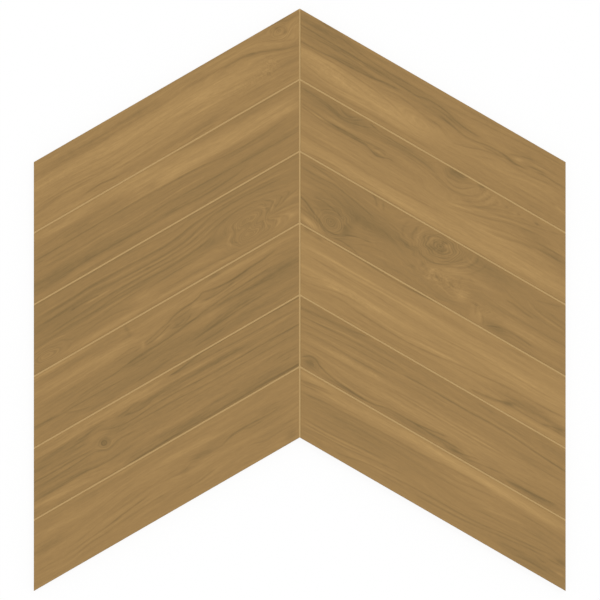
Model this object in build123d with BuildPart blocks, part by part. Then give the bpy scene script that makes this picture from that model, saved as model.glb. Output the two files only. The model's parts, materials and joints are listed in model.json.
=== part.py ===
"""Chevron sheet of wood-look porcelain tile.

Twelve mitred planks lie in two columns that mirror each other, and meet at a
point on the centre line. A tan filler closes the joints between the planks and
holds them together as one sheet, which is laid as a unit.

The frame: the sheet lies on z = 0 with its printed face up. +Y runs along the
centre joint to the point of the chevrons, +X across it. The origin is below the
middle of the sheet's outline, in the plane that the adhesive bed touches.
"""

import os
from math import cos, radians, tan

from build123d import *

# Driving dimensions, in millimetres and degrees
plank_length = 216.5  # along a plank's long side
plank_width = 42.8  # square to the long sides
plank_thickness = 8.0
mitre_angle = 60.0  # between a plank's long side and its mitred end
rows = 6

joint_width = 1.2  # between planks, along the centre line and between rows
face_bevel = 0.3  # the arris ground off round each printed face

key_depth = 0.6  # of the grooves pressed into the back, which key into the adhesive
key_groove = 1.8
key_pitch = 14.2  # from one groove to the next, along and across a plank

filler_recess = 0.35  # from the printed face down to the filler's edge
filler_hollow = 0.15  # how far the tooled filler dips below its edge

# What follows from them
slope = 90 - mitre_angle
column_width = plank_length * cos(radians(slope))
end_height = plank_width / cos(radians(slope))
row_pitch = (plank_width + joint_width) / cos(radians(slope))
column_height = (rows - 1) * row_pitch + end_height
inner_x = joint_width / 2
outer_x = inner_x + column_width

# The point of the top row lies this far above the origin. It carries on across the
# half joint beside the centre line, where the filler closes it.
point_y = (column_height + outer_x * tan(radians(slope))) / 2

SIDES = {"left": -1, "right": 1}


def fall(x):
    """How far a chevron has dropped from its point, at a distance x from the centre line."""
    return abs(x) * tan(radians(slope))


def plank_corners(side, row):
    """The four corners of one plank's outline, counted down from the point of the sheet."""
    top = point_y - row * row_pitch
    near, far = side * inner_x, side * outer_x
    return [
        (near, top - fall(near)),
        (far, top - fall(far)),
        (far, top - fall(far) - end_height),
        (near, top - fall(near) - end_height),
    ]


def sheet_corners():
    """The six corners of the whole sheet: a chevron as tall as all its rows."""
    low = point_y - column_height
    return [
        (0, point_y),
        (outer_x, point_y - fall(outer_x)),
        (outer_x, low - fall(outer_x)),
        (0, low),
        (-outer_x, low - fall(outer_x)),
        (-outer_x, point_y - fall(outer_x)),
    ]


def back_plane(corners):
    """The plane of a plank's back, centred on the plank with its X along the long sides."""
    middle = (Vector(*corners[0]) + Vector(*corners[2])) / 2
    along = Vector(*corners[1]) - Vector(*corners[0])
    return Plane(origin=middle, x_dir=along, z_dir=(0, 0, 1))


def make_plank():
    """The right plank of the top row: a mitred slab with a bevelled face and a keyed back."""
    corners = plank_corners(1, 0)
    with BuildPart() as plank:
        with BuildSketch():
            with BuildLine():
                Polyline(*corners, close=True)
            make_face()
        extrude(amount=plank_thickness)
        printed_face = plank.faces().sort_by(Axis.Z)[-1]
        chamfer(printed_face.edges(), length=face_bevel)

        # The grooves run out through the edges, because the plank is sawn from a larger slab
        reach = plank_length + plank_width
        across_count = int(plank_width / key_pitch / 2) * 2 + 2
        along_count = int(reach / key_pitch / 2) * 2 + 2
        with BuildSketch(back_plane(corners)):
            with GridLocations(key_pitch, key_pitch, 1, across_count):
                Rectangle(reach, key_groove)
            with GridLocations(key_pitch, key_pitch, along_count, 1):
                Rectangle(key_groove, reach)
        extrude(amount=key_depth, mode=Mode.SUBTRACT)
    return plank


def place_plank(plank, side, row):
    """A copy of the top right plank in another row, mirrored where it is in the left column."""
    with BuildPart() as placed:
        with Locations((0, -row * row_pitch)):
            add(plank.part)
        if side < 0:
            mirror(about=Plane.YZ, mode=Mode.REPLACE)
    return placed


def joint_lines():
    """The middle line of each joint, at the height of the filler's top edge."""
    low = point_y - column_height
    lines = [((0, point_y + joint_width), (0, low))]
    for side in SIDES.values():
        for row in range(1, rows):
            middle = point_y - row * row_pitch + (row_pitch - end_height) / 2
            end_x = side * outer_x
            lines.append(((0, middle), (end_x, middle - fall(end_x))))
    return lines


def make_filler():
    """The joint filler: one casting, a spine down the centre line with an arm in each row joint."""
    half = joint_width / 2
    tool_radius = (half**2 + filler_hollow**2) / (2 * filler_hollow)
    filler_top = plank_thickness - filler_recess
    tool_height = filler_top + tool_radius - filler_hollow
    with BuildPart() as filler:
        with BuildSketch(Plane.XY.offset(key_depth)):
            with BuildLine():
                Polyline(*sheet_corners(), close=True)
            make_face()
            for side in SIDES.values():
                for row in range(rows):
                    with BuildLine(mode=Mode.PRIVATE) as outline:
                        Polyline(*plank_corners(side, row), close=True)
                    make_face(outline.edges(), mode=Mode.SUBTRACT)
        extrude(amount=filler_top - key_depth)

        # A round jointing tool drawn along each joint leaves its top hollow
        for start, end in joint_lines():
            path = Vector(*end) - Vector(*start)
            with BuildSketch(Plane(origin=(*start, tool_height), z_dir=path)):
                Circle(tool_radius)
            extrude(amount=path.length + joint_width, mode=Mode.SUBTRACT)
    return filler


os.makedirs("parts", exist_ok=True)

top_right_plank = make_plank()
for side_name, side_sign in SIDES.items():
    for row_index in range(rows):
        plank = place_plank(top_right_plank, side_sign, row_index)
        plank.part.label = f"plank_{side_name}_{row_index + 1}"
        export_step(plank.part, f"parts/{plank.part.label}.step")

filler = make_filler()
filler.part.label = "joint_filler"
export_step(filler.part, "parts/joint_filler.step")
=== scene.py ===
"""Looks of a chevron sheet of wood-look porcelain tile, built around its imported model.

Each plank is remade with a finely divided face, which carries the shallow relief pressed
into wood-look porcelain. The print of a plank follows a grain worked out here from the
streaks and knots that its Figure lists: the grain goes to the shader as a UV map, and the
brightness of the print as attributes. The joint filler keeps its own mesh.
"""

import json
import logging
import math
from dataclasses import dataclass
from enum import Enum

import bmesh
import bpy
import numpy as np
from mathutils import Matrix, Vector, noise

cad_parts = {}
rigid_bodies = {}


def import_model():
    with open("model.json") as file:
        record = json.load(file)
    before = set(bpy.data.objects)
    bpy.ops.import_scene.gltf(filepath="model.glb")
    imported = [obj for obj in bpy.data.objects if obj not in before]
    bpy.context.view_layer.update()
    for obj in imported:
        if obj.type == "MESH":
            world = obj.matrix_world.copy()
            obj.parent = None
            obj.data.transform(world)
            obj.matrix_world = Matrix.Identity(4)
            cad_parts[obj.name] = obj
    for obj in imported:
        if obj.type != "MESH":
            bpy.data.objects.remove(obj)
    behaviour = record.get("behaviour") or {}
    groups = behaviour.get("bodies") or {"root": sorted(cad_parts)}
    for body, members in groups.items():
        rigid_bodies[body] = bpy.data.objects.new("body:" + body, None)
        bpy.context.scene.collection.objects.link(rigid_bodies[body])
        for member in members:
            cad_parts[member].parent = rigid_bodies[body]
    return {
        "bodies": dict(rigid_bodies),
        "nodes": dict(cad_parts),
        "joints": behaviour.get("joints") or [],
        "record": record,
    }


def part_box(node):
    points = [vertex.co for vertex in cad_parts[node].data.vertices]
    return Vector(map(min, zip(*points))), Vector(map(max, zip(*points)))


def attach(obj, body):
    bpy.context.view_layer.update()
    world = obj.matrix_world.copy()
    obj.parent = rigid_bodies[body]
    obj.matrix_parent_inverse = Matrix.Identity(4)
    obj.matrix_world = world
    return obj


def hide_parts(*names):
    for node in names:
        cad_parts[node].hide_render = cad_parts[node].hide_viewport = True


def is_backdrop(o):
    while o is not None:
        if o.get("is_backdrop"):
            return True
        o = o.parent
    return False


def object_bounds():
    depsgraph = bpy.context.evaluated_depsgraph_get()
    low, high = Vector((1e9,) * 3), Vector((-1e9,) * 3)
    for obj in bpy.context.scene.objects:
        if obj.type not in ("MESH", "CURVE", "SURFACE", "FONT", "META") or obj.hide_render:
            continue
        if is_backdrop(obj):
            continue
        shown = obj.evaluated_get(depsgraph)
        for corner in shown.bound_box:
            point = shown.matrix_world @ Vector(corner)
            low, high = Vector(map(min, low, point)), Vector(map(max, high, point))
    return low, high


LOG = logging.getLogger("chevron_sheet")

Point = tuple[float, float]

BODY = "root"
MILLIMETRE = 0.001
TOLERANCE = 1e-6
FULL = 100.0  # places on a plank are in hundredths of its length and of its width


class Column(Enum):
    """The column that a plank lies in, with the turn of its long sides in degrees."""

    LEFT = 30.0
    RIGHT = -30.0

    @property
    def title(self) -> str:
        """The column's name as the nodes write it."""
        return self.name.lower()


class Attribute(Enum):
    """What a plank's mesh hands to the shader."""

    GRAIN = "grain"
    SHADE = "shade"
    RINGS = "rings"
    CONTRAST = "contrast"
    CURL = "curl"


# The figure of the wood


@dataclass(frozen=True)
class Streak:
    """A line or band that runs along the grain.

    The shade is in levels of brightness, below 0 where the streak is darker than the ground.
    The path is a list of places (along, across), in hundredths of the plank, and the half
    width is in hundredths of the plank's width.
    """

    shade: float
    path: tuple[Point, ...]
    half: float = 1.1
    below: float | None = None  # its half width towards the lower edge, where that is another
    fade: float = 7.0  # how far in from its ends it reaches its full shade
    steers: bool = True  # whether the grain beside it bends with it

    def line(self, along: np.ndarray) -> np.ndarray:
        """Where the streak's middle lies across the plank.

        Args:
            along: places along the plank.

        Returns:
            The place across the plank at each of them, held level beyond both ends.
        """
        xs, ys = (np.array(axis, float) for axis in zip(*self.path))
        slopes = np.gradient(ys, xs)
        first = np.clip(np.searchsorted(xs, along) - 1, 0, len(xs) - 2)
        span = xs[first + 1] - xs[first]
        s = np.clip((along - xs[first]) / span, 0, 1)
        start = ys[first] * (1 + 2 * s) * (1 - s) ** 2 + slopes[first] * span * s * (1 - s) ** 2
        end = ys[first + 1] * s**2 * (3 - 2 * s) - slopes[first + 1] * span * s**2 * (1 - s)
        return start + end

    def presence(self, along: np.ndarray, reach: float = 0.0) -> np.ndarray:
        """How much of the streak there is, from 0 off its ends to 1.

        Args:
            along: places along the plank.
            reach: how far beyond its ends it still acts.

        Returns:
            The share of the streak at each place.
        """
        start, end = self.path[0][0] - reach, self.path[-1][0] + reach
        fade = min(self.fade + reach, (end - start) / 2)
        return smooth((along - start) / fade) * smooth((end - along) / fade)

    def tint(self, along: np.ndarray, across: np.ndarray) -> np.ndarray:
        """The levels of brightness that the streak adds at each place."""
        offset = across - self.line(along)
        half = np.where(offset < 0, self.half, self.below or self.half)
        return self.shade * self.presence(along) * self.profile(offset / half)

    def profile(self, offset: np.ndarray) -> np.ndarray:
        """How the shade falls off across the streak, its half width being 1."""
        return np.exp(-(offset**2))


@dataclass(frozen=True)
class Band(Streak):
    """A streak that is even across its width, with a firm edge on each side."""

    def profile(self, offset: np.ndarray) -> np.ndarray:
        """How the shade falls off across the band, its half width being 1."""
        return np.exp(-(offset**4))


@dataclass(frozen=True)
class Slash:
    """A line that cuts across the grain, followed from the upper towards the lower edge.

    Its half width is in hundredths of the plank's length.
    """

    shade: float
    half: float
    path: tuple[Point, ...]
    fade: float = 6.0

    def tint(self, along: np.ndarray, across: np.ndarray) -> np.ndarray:
        """The levels of brightness that the line adds at each place."""
        turned = tuple((v, u) for u, v in self.path)
        return Streak(self.shade, turned, self.half, fade=self.fade).tint(across, along)


@dataclass(frozen=True)
class Patch:
    """A soft oval patch, in hundredths of the plank, with its shade in levels."""

    shade: float
    at: Point
    half: Point
    tilt: float = 0.0  # how far its middle line drops across the plank for each step along it

    def tint(self, along: np.ndarray, across: np.ndarray) -> np.ndarray:
        """The levels of brightness that the patch adds at each place."""
        u = (along - self.at[0]) / self.half[0]
        v = (across - self.at[1] - self.tilt * (along - self.at[0])) / self.half[1]
        return self.shade * np.exp(-(u**2 + v**2))


@dataclass(frozen=True)
class Knot:
    """A knot: closed growth rings, which the grain beside them flows round.

    Its lobes are ovals, each with its middle and half sizes, in hundredths of the plank.
    Rings that lie near each other join into one.
    """

    shade: float
    lobes: tuple[tuple[Point, Point], ...]
    crowding: float = 1.6  # how much closer the rings lie than the lines of the grain
    halo: float = 1.5  # how far round it the rings still show, its own size being 1
    trail: float = 1.0  # how much farther the rings reach to the right than to the left
    heart: float = 0.7  # how far out its own shade reaches
    wobble: float = 0.12  # how far the rings stray from true ovals
    ripple: Point = (1.3, 0.35)  # how fast they do so, along and across the plank
    least: float = 1e-12  # nearness far away, where its logarithm has to stay finite

    @property
    def middle(self) -> float:
        """Where the knot lies across the plank."""
        return sum(at[1] for at, _ in self.lobes) / len(self.lobes)

    def radius(self, along: np.ndarray, across: np.ndarray) -> np.ndarray:
        """How far out each place lies: 0 in the heart, 1 at the rim of a single lobe."""
        nearness = np.full_like(along, self.least)
        for (u, v), (half_u, half_v) in self.lobes:
            stray = np.sin(self.ripple[0] * (along - u) + self.ripple[1] * (across - v))
            reach = np.where(along > u, half_u * self.trail, half_u)
            out = ((along - u) / reach) ** 2 + ((across - v) / half_v) ** 2
            nearness += np.exp(-out * (1 + self.wobble * stray))
        return np.sqrt(np.maximum(-np.log(nearness), 0))

    def shift(self, along: np.ndarray, across: np.ndarray) -> np.ndarray:
        """How far the knot shifts the growth ring at each place."""
        radius = self.radius(along, across)
        off = across - self.middle
        size = max(half[1] for _, half in self.lobes)
        inside = -off - (1 - radius) * size * self.crowding
        return np.where(radius < 1, inside, -off / np.maximum(radius, 1) ** 2)

    def share(self, along: np.ndarray, across: np.ndarray, spread: float) -> np.ndarray:
        """How much of the knot there is, taken so many times its size: 1 in its heart, 0 far off."""
        return np.exp(-((self.radius(along, across) / spread) ** 2))

    def tint(self, along: np.ndarray, across: np.ndarray) -> np.ndarray:
        """The levels of brightness that the knot's heart adds at each place."""
        return self.shade * self.share(along, across, self.heart)


@dataclass(frozen=True)
class Figure:
    """The figure printed on one plank: its ground, and what stands out from it."""

    tone: float
    patches: tuple[Patch, ...] = ()
    streaks: tuple[Streak, ...] = ()
    slashes: tuple[Slash, ...] = ()
    knots: tuple[Knot, ...] = ()
    curls: tuple[Patch, ...] = ()
    sway: float = 0.6
    liveliness: float = 1.0  # of its fine lines


def smooth(share: np.ndarray) -> np.ndarray:
    """An eased step from 0 to 1, level beyond both."""
    share = np.clip(share, 0, 1)
    return share * share * (3 - 2 * share)


@dataclass(frozen=True)
class Grain:
    """Works out a figure at many places of a plank at once."""

    figure: Figure
    phase: float
    grip: float = 9.0  # how far across a streak bends the grain beside it
    reach: float = 12.0  # how far beyond a streak's ends it still bends the grain
    stiffness: float = 0.35  # how firmly the grain keeps to the plank's long sides
    wash: float = 1.3  # how much stronger than listed a patch is printed
    ink: float = 0.83  # how much of a line's shade the print keeps
    depth: float = 36.0  # the levels by which marks that overlap can depart from the ground
    long_wave: float = 9.0  # of the sway of the whole grain, along the plank
    short_wave: Point = (4.1, 17.0)  # of the smaller sway on it, along and across
    short_sway: float = 0.6  # how large that is, the long one being 1
    plain_contrast: float = 0.92  # of the fine grain away from all marks
    mark_contrast: float = 0.4  # the most that a mark adds to it
    knot_contrast: float = 0.5  # what a knot's heart adds to it

    def rings(self, along: np.ndarray, across: np.ndarray) -> np.ndarray:
        """The growth ring at each place, counted in hundredths of the plank's width.

        Args:
            along: places along the plank.
            across: places across it.

        Returns:
            A number that stays the same along a line of the grain.
        """
        pull = np.zeros_like(along)
        weight = np.full_like(along, self.stiffness)
        for streak in self.figure.streaks:
            if not streak.steers:
                continue
            line = streak.line(along)
            level = sum(place[1] for place in streak.path) / len(streak.path)
            hold = streak.presence(along, self.reach) * np.exp(-(((across - line) / self.grip) ** 2))
            pull += hold * (line - level)
            weight += hold
        ring = across - pull / weight
        for knot in self.figure.knots:
            ring += knot.shift(along, across)
        turn = along / self.short_wave[0] + across / self.short_wave[1] + 2 * self.phase
        sway = np.sin(along / self.long_wave + self.phase) + self.short_sway * np.sin(turn)
        return ring + self.figure.sway * sway

    def shade(self, along: np.ndarray, across: np.ndarray) -> np.ndarray:
        """The brightness of the print at each place, in levels, without its fine grain."""
        figure = self.figure
        total = self.wash * sum(patch.tint(along, across) for patch in figure.patches)
        for mark in figure.streaks + figure.slashes + figure.knots:
            total += self.ink * mark.tint(along, across)
        return figure.tone + self.depth * np.tanh(total / self.depth)

    def ring_contrast(self, along: np.ndarray, across: np.ndarray) -> np.ndarray:
        """How strongly the growth rings show at each place, from 0 to 1."""
        total = np.zeros_like(along)
        for knot in self.figure.knots:
            total += knot.share(along, across, knot.halo)
        return np.clip(total, 0, 1)

    def contrast(self, shade: np.ndarray, rings: np.ndarray) -> np.ndarray:
        """How strongly the fine grain shows, more on marks than on plain ground.

        Args:
            shade: the brightness of the print at each place.
            rings: how strongly the growth rings show there.

        Returns:
            The factor on the fine grain's levels.
        """
        mark = np.abs(shade - self.figure.tone) / self.depth
        total = self.plain_contrast + np.clip(mark, 0, self.mark_contrast) + self.knot_contrast * rings
        return self.figure.liveliness * total

    def curl(self, along: np.ndarray, across: np.ndarray) -> np.ndarray:
        """How much curly figure there is at each place."""
        total = np.zeros_like(along)
        for curl in self.figure.curls:
            total += curl.tint(along, across)
        return total


# Pale, with a broad dark band that falls off past a small knot at the centre joint
LEFT_1 = Figure(
    tone=133.3,
    liveliness=1.25,
    patches=(
        Patch(7, (34, 42), (30, 10)), Patch(6, (66, 40), (18, 12)), Patch(5, (42, 60), (34, 6)),
        Patch(4, (66, 58), (12, 14)), Patch(-3, (92, 64), (8, 18)), Patch(-4, (94, 6), (6, 8)),
        Patch(-3, (70, 90), (26, 9)), Patch(-10, (91.6, 10), (0.8, 4), tilt=2.5),
        Patch(-8, (93.3, 22), (0.8, 3)),
    ),
    streaks=(
        Band(-8, ((2, 20), (20, 20), (30, 22.5), (37, 20), (46, 19), (60, 20)), 8, 6, fade=16),
        Streak(-6, ((7, 24), (15, 25), (23, 28), (31, 31)), 3, 1.5),
        Streak(-9, ((46, 28), (49, 28.5), (51.5, 29.5)), fade=2),
        Streak(-3, ((10, 17), (26, 18), (40, 16), (54, 17)), 2),
        Streak(-14, ((58, 20), (68, 20), (73, 21.5), (79, 23), (83, 28), (90, 44),
            (97, 56)), 2.4, 2.6, fade=6),
        Band(-5, ((77, 23), (83, 30), (87, 38), (92, 48)), 5, fade=4),
        Streak(5, ((60, 9), (70, 8), (80, 10), (86, 13), (89, 20))),
        Streak(4, ((62, 13), (74, 13), (82, 15), (86, 20), (90, 32), (94, 42))),
        Streak(-6, ((84, 14), (87, 19), (90, 29), (94, 38.5), (97, 36)), fade=3),
        Streak(9, ((90, 27), (93, 27), (95.5, 22), (98.5, 19)), fade=2),
        Streak(-5, ((91, 30), (94, 29.5), (96.5, 25), (98.5, 23)), fade=2),
        Streak(-7, ((87.6, 9), (88.6, 17), (89.8, 24)), 1.5, fade=1.5, steers=False),
        Streak(-12, ((90, 0), (94, 1), (98, 0)), 1.2, 1.6, fade=1.5),
        Streak(-9, ((3, 53), (10, 51.5), (18, 52), (24, 54.5), (29, 56.5), (34, 54.5), (50, 48),
            (62, 45))),
        Streak(-4, ((4, 62), (18, 62), (28, 64.5), (40, 62))),
        Streak(-9, ((3, 66.5), (12, 65.5), (22, 67), (30, 69.5), (38, 67), (50, 66))),
        Streak(-6, ((3, 71), (15, 70), (26, 71.5), (34, 71))),
        Streak(-6, ((2, 75), (12, 72.5), (20, 74), (32, 78), (46, 76))),
        Streak(7, ((19, 71.5), (28, 75), (36, 75.5), (45, 74), (56, 71)), 1.2),
        Streak(-4, ((26, 80), (36, 80), (48, 78)), 1.2),
        Streak(-15, ((17, 88), (21, 87), (24, 86.5), (27, 88.5), (31, 91)), 1.2, 1.4, fade=3),
        Streak(-6, ((19, 91), (24, 93), (29, 96)), 1.4, fade=3),
        Streak(-5, ((40, 92), (46, 91), (52, 89)), 1.6),
        Streak(-10, ((49, 91.5), (54, 91.5), (58, 90), (64, 90)), 1.2, 1.3, fade=4),
        Streak(-12, ((53, 97), (58, 96), (63, 95)), 1.4, 1.8, fade=3),
        Streak(-5, ((66, 80), (80, 79.5), (93, 81)), 1.4),
        Streak(-7, ((80, 90), (87, 91), (92, 92)), 1.2),
        Streak(6, ((52, 65.5), (60, 65), (68, 66), (76, 65))),
        Streak(-5, ((50, 68), (62, 67.5), (72, 68.5))),
        Streak(-4, ((50, 56), (62, 54.5), (76, 54))),
        Streak(-4, ((60, 37), (70, 35.5), (78, 37.5))),
        Streak(5, ((66, 41), (74, 43), (79, 48)), 1.2),
    ),
    knots=(Knot(-1, (((91.7, 15), (2.4, 10)),)),),
    curls=(Patch(8, (78, 65), (5, 9)), Patch(12, (84, 58), (3, 14)), Patch(4, (12, 42), (8, 8))),
)

# A pale band along the upper side of a dark plank
LEFT_2 = Figure(
    tone=127,
    patches=(
        Patch(5, (40, 4), (40, 6)), Patch(9, (20, 11), (16, 4)), Patch(5, (45, 32), (12, 6)),
        Patch(-7, (12, 76), (18, 9)), Patch(-3, (50, 76), (30, 6)), Patch(-3, (84, 68), (16, 6)),
        Patch(3, (34, 91), (24, 4)), Patch(-6, (47.5, 29), (1.8, 4)),
    ),
    streaks=(
        Streak(19, ((30, 13), (40, 14), (50, 18), (62, 21), (75, 23), (88, 24),
            (104, 22)), 11, 12, fade=16),
        Band(8, ((46, 30), (56, 30), (68, 31), (80, 33), (102, 31)), 5, 7, fade=8),
        Streak(-13, ((3, 40), (20, 39), (50, 39), (57, 40), (62, 41.5), (68, 45), (75, 47.5),
            (83, 46.5), (93, 42)), 0.9, 2),
        Streak(5, ((36, 36), (48, 36), (58, 38), (66, 40), (74, 42), (84, 41)), 1, 0.8),
        Streak(8, ((8, 62), (20, 62), (27, 60.5), (35, 62), (45, 60.5), (53, 58), (66, 59))),
        Streak(-8, ((20, 68), (30, 66.5), (38, 68), (48, 67), (60, 68), (75, 70), (95, 71)), 1.2),
        Streak(-5, ((-2, 84), (8, 84), (20, 81), (32, 81), (42, 82)), 2.6, 1.4, fade=8),
        Streak(-10, ((0, 86), (6, 86.5), (11, 85.5), (15, 83.5), (20, 82), (26, 82), (33, 82.5),
            (40, 83), (46, 82.5))),
        Streak(-10, ((44, 83), (48, 83), (52, 84), (58, 86), (65, 85), (71, 82),
            (76, 79)), 1.6, 1.8, fade=5),
        Streak(-7, ((40, 80), (52, 80), (62, 80.5), (70, 79)), 1.2),
        Streak(-6, ((26, 87), (30, 88), (34, 87)), 1.2, fade=3),
        Streak(-6, ((8, 25), (14, 23.5), (20, 21), (26, 21))),
        Streak(7, ((9, 14), (16, 13.5), (22, 14.5), (28, 17), (34, 20))),
        Streak(-4, ((11, 31), (16, 27), (21, 25), (27, 25), (31, 27))),
        Streak(6, ((12, 28), (17, 24.5), (21, 23))),
        Streak(-9, ((15.5, 31), (20, 30), (24, 29.5), (28, 30)), 2, fade=3),
        Streak(-5, ((30, 24), (38, 23), (45, 22))),
        Streak(-5, ((30, 31), (38, 31), (47, 31))),
        Streak(-5, ((40, 27), (46, 26), (50, 25)), fade=3),
        Streak(-8, ((14, 5), (17, 6), (21, 7)), fade=2),
        Streak(-5, ((50, 28), (60, 28), (70, 27))),
        Streak(-5, ((66, 33), (74, 30), (82, 27), (90, 26))),
        Streak(-4, ((70, 38), (80, 35), (90, 33))),
        Streak(-6, ((58, 3), (75, 3), (90, 2), (98, 4)), 2, 1),
        Streak(-9, ((54, 97), (62, 95.5), (70, 93.5), (77, 95), (86, 94)), 1.2, 1.4),
        Streak(-9, ((5, 45.5), (7, 45), (9.5, 46)), 1.4, fade=1.5),
        Streak(-5, ((6, 57), (20, 57.5), (34, 57))),
        Streak(-4, ((8, 50), (30, 49), (60, 52), (90, 54))),
        Streak(3, ((60, 51), (76, 55), (94, 57)), 1.4),
        Streak(-4, ((12, 96), (30, 95), (48, 96)), 1.6),
    ),
)

# Dark and finely lined, round a large folded knot and a small one at the outer end
LEFT_3 = Figure(
    tone=126,
    liveliness=0.9,
    patches=(
        Patch(-4, (14, 40), (18, 20)), Patch(7, (40, 79), (4.5, 8)), Patch(5, (60, 76), (9, 8)),
        Patch(10, (28, 93), (18, 4.5)), Patch(4, (6, 83), (4, 8)), Patch(-4, (4, 96), (5, 4)),
        Patch(6, (62, 93), (22, 3.5)), Patch(5, (89, 82), (3, 9)), Patch(5, (92, 58), (3, 3)),
        Patch(-4, (66, 57), (6, 6)), Patch(-6, (44.6, 41), (0.8, 2)), Patch(-3, (76, 75), (3, 6)),
        Patch(-4, (76.8, 60), (2.2, 4)), Patch(6, (83.7, 51), (0.6, 2.4)), Patch(-2, (73, 37), (5, 5)),
        Patch(4, (87, 80), (3, 9)),
    ),
    streaks=(
        Streak(-7, ((6, 0), (40, 0), (80, 0), (103, 1)), 1.6, 2.4),
        Streak(-7, ((40, 3), (48, 6), (55, 9.5), (59, 8.5), (62, 5.5), (68, 6), (80, 7.5), (97, 8.5))),
        Streak(7, ((42, 2), (50, 5), (56, 6.5), (60, 4.5), (63, 2)), fade=4),
        Streak(9, ((8, 18), (20, 18), (29, 16), (37, 17.5), (44, 19.5), (50, 20), (56, 18.5),
            (62, 13.5), (68, 11.5), (80, 11), (90, 13.5), (98, 16)), 1.4, 1.3),
        Streak(-10, ((7, 22), (20, 21), (29, 19.5), (37, 20.5), (46, 22.5), (53, 23), (58, 20),
            (63, 15.5), (72, 13.5), (84, 14), (94, 18)), 2.2, 3),
        Streak(6, ((7, 27), (20, 27), (27, 24.5), (34, 27), (44, 28.5), (52, 29.5), (57, 27),
            (62, 21.5), (68, 17), (76, 15.5), (86, 17.5)), 1.5),
        Streak(-10, ((6, 34), (18, 32.5), (27, 30), (36, 33.5), (46, 35), (54, 35), (59, 32), (64, 25),
            (69, 19), (77, 17), (86, 19.5), (94, 24)), 1.8, 2.2),
        Streak(-13, ((18.5, 38), (21.5, 37), (26, 37.5), (29, 39)), 1, 1.2, fade=1.5),
        Streak(19, ((22.5, 41), (26, 40.5), (29, 40.5), (33, 40)), fade=3),
        Streak(7, ((33, 36.5), (42, 37), (52, 38.5), (58, 36), (64, 30), (69, 25.5))),
        Streak(-9, ((33, 40), (42, 41), (52, 41.5), (59, 39.5), (65, 33), (70, 28.5), (77, 26.5),
            (84, 29), (90, 36), (95, 42)), 1.3),
        Streak(7, ((16, 50), (25, 46.5), (34, 44), (46, 45), (55, 46), (61, 43), (66, 37), (71, 32))),
        Streak(-8, ((8, 56), (17, 51), (25, 48.5), (34, 47), (46, 48), (55, 48.5), (62, 45), (68, 38),
            (73, 33), (80, 33), (86, 37)), 1.2),
        Streak(6, ((28, 53), (36, 52), (45, 50.5), (54, 52), (61, 49.5), (68, 43)), 1.2),
        Streak(-12, ((20, 59), (25, 58), (30, 55), (40, 54.5), (50, 56), (57, 54.5), (63, 51.5),
            (68, 47)), 1.4, 2.2),
        Streak(-7, ((2, 63), (9, 60.5), (16, 58), (24, 59), (34, 59), (48, 59)), 1.3, 2),
        Streak(6, ((4, 67), (9, 65.5), (14, 67), (20, 67), (30, 64), (40, 62.5)), 1.2),
        Streak(-7, ((15, 66), (20, 69), (25, 71), (30, 68), (36, 65.5), (46, 64), (58, 65),
            (67, 66)), 1.1, 1.3),
        Streak(-8, ((40, 73), (42.5, 70.5), (47, 69), (54, 68), (62, 69)), fade=3),
        Streak(-8, ((42.5, 79), (44, 82), (49, 84.5), (57, 86), (66, 89), (74, 92), (84, 92.5)), fade=3),
        Streak(-6, ((12, 87), (17, 82.5), (22, 79), (27, 77.5), (31, 79), (35, 83), (43, 85))),
        Streak(7, ((1, 72), (5, 67.5), (10, 67), (14, 70), (15, 75)), fade=2),
        Streak(-7, ((83, 66), (88, 66), (94, 70)), 1.2, fade=3),
        Streak(-6, ((83, 67), (87, 71), (93, 76)), fade=3),
        Streak(5, ((83, 67.5), (88, 68.5), (94, 73)), fade=3),
        Streak(7, ((88, 60), (91, 56), (95, 53.5)), fade=2),
        Streak(-7, ((86, 62), (90, 55), (95, 50)), 1, 1.2, fade=3),
    ),
    knots=(
        Knot(
            -1,
            (((76.5, 52), (6.4, 13)), ((75.5, 76), (6.2, 12.5))),
            crowding=2.1,
            halo=1.15,
            trail=1.25,
        ),
        Knot(-3, (((6.3, 81.5), (5, 9)),), crowding=1.4),
    ),
    slashes=(
        Slash(10, 0.4, ((69.6, 55), (70.7, 61), (69.4, 66), (68.7, 71), (69.2, 76), (71, 82))),
        Slash(-9, 0.4, ((71, 65), (69.8, 70), (70.3, 75), (72, 80)), fade=3),
        Slash(9, 0.4, ((74.6, 47), (73.1, 52), (73.2, 57), (74.3, 61)), fade=3),
        Slash(-9, 0.4, ((80.6, 67), (80.3, 73), (79.2, 78), (76.6, 81.5)), fade=3),
        Slash(8, 0.4, ((81.1, 67), (81.3, 74), (80.4, 80), (78, 84)), fade=3),
        Slash(-9, 0.4, ((81.5, 67), (83, 73), (84.3, 79), (83, 85)), fade=3),
        Slash(9, 0.45, ((84.2, 74), (85.2, 79), (84.6, 84), (82.6, 89)), fade=3),
        Slash(-9, 0.4, ((82.3, 67), (84.8, 73), (87.2, 79), (87.6, 84), (86.6, 89)), fade=3),
        Slash(6, 0.5, ((86, 73), (88.6, 79), (89, 86)), fade=3),
        Slash(-5, 0.4, ((79.6, 43), (81, 49), (81.5, 55), (81.1, 61)), fade=3),
        Slash(9, 0.4, ((81.2, 41), (82.6, 47), (83, 54), (82.3, 62))),
        Slash(-10, 0.4, ((82.2, 40), (83.4, 46), (83.7, 51), (83, 57), (82.6, 63))),
        Slash(-12, 0.4, ((83.6, 38), (85.2, 43), (86.1, 48), (85.3, 53), (84, 59), (83.7, 63))),
        Slash(12, 0.4, ((84.6, 38), (86.1, 43), (86.9, 48), (86, 53), (84.7, 58), (84.1, 63))),
        Slash(-9, 0.4, ((86.8, 39), (88.4, 44), (89.1, 49), (87.8, 54), (86, 59), (85.2, 63))),
        Slash(-7, 0.4, ((89.4, 41), (91.4, 46), (91.4, 50), (89.6, 54), (88.2, 60))),
    ),
)

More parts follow.
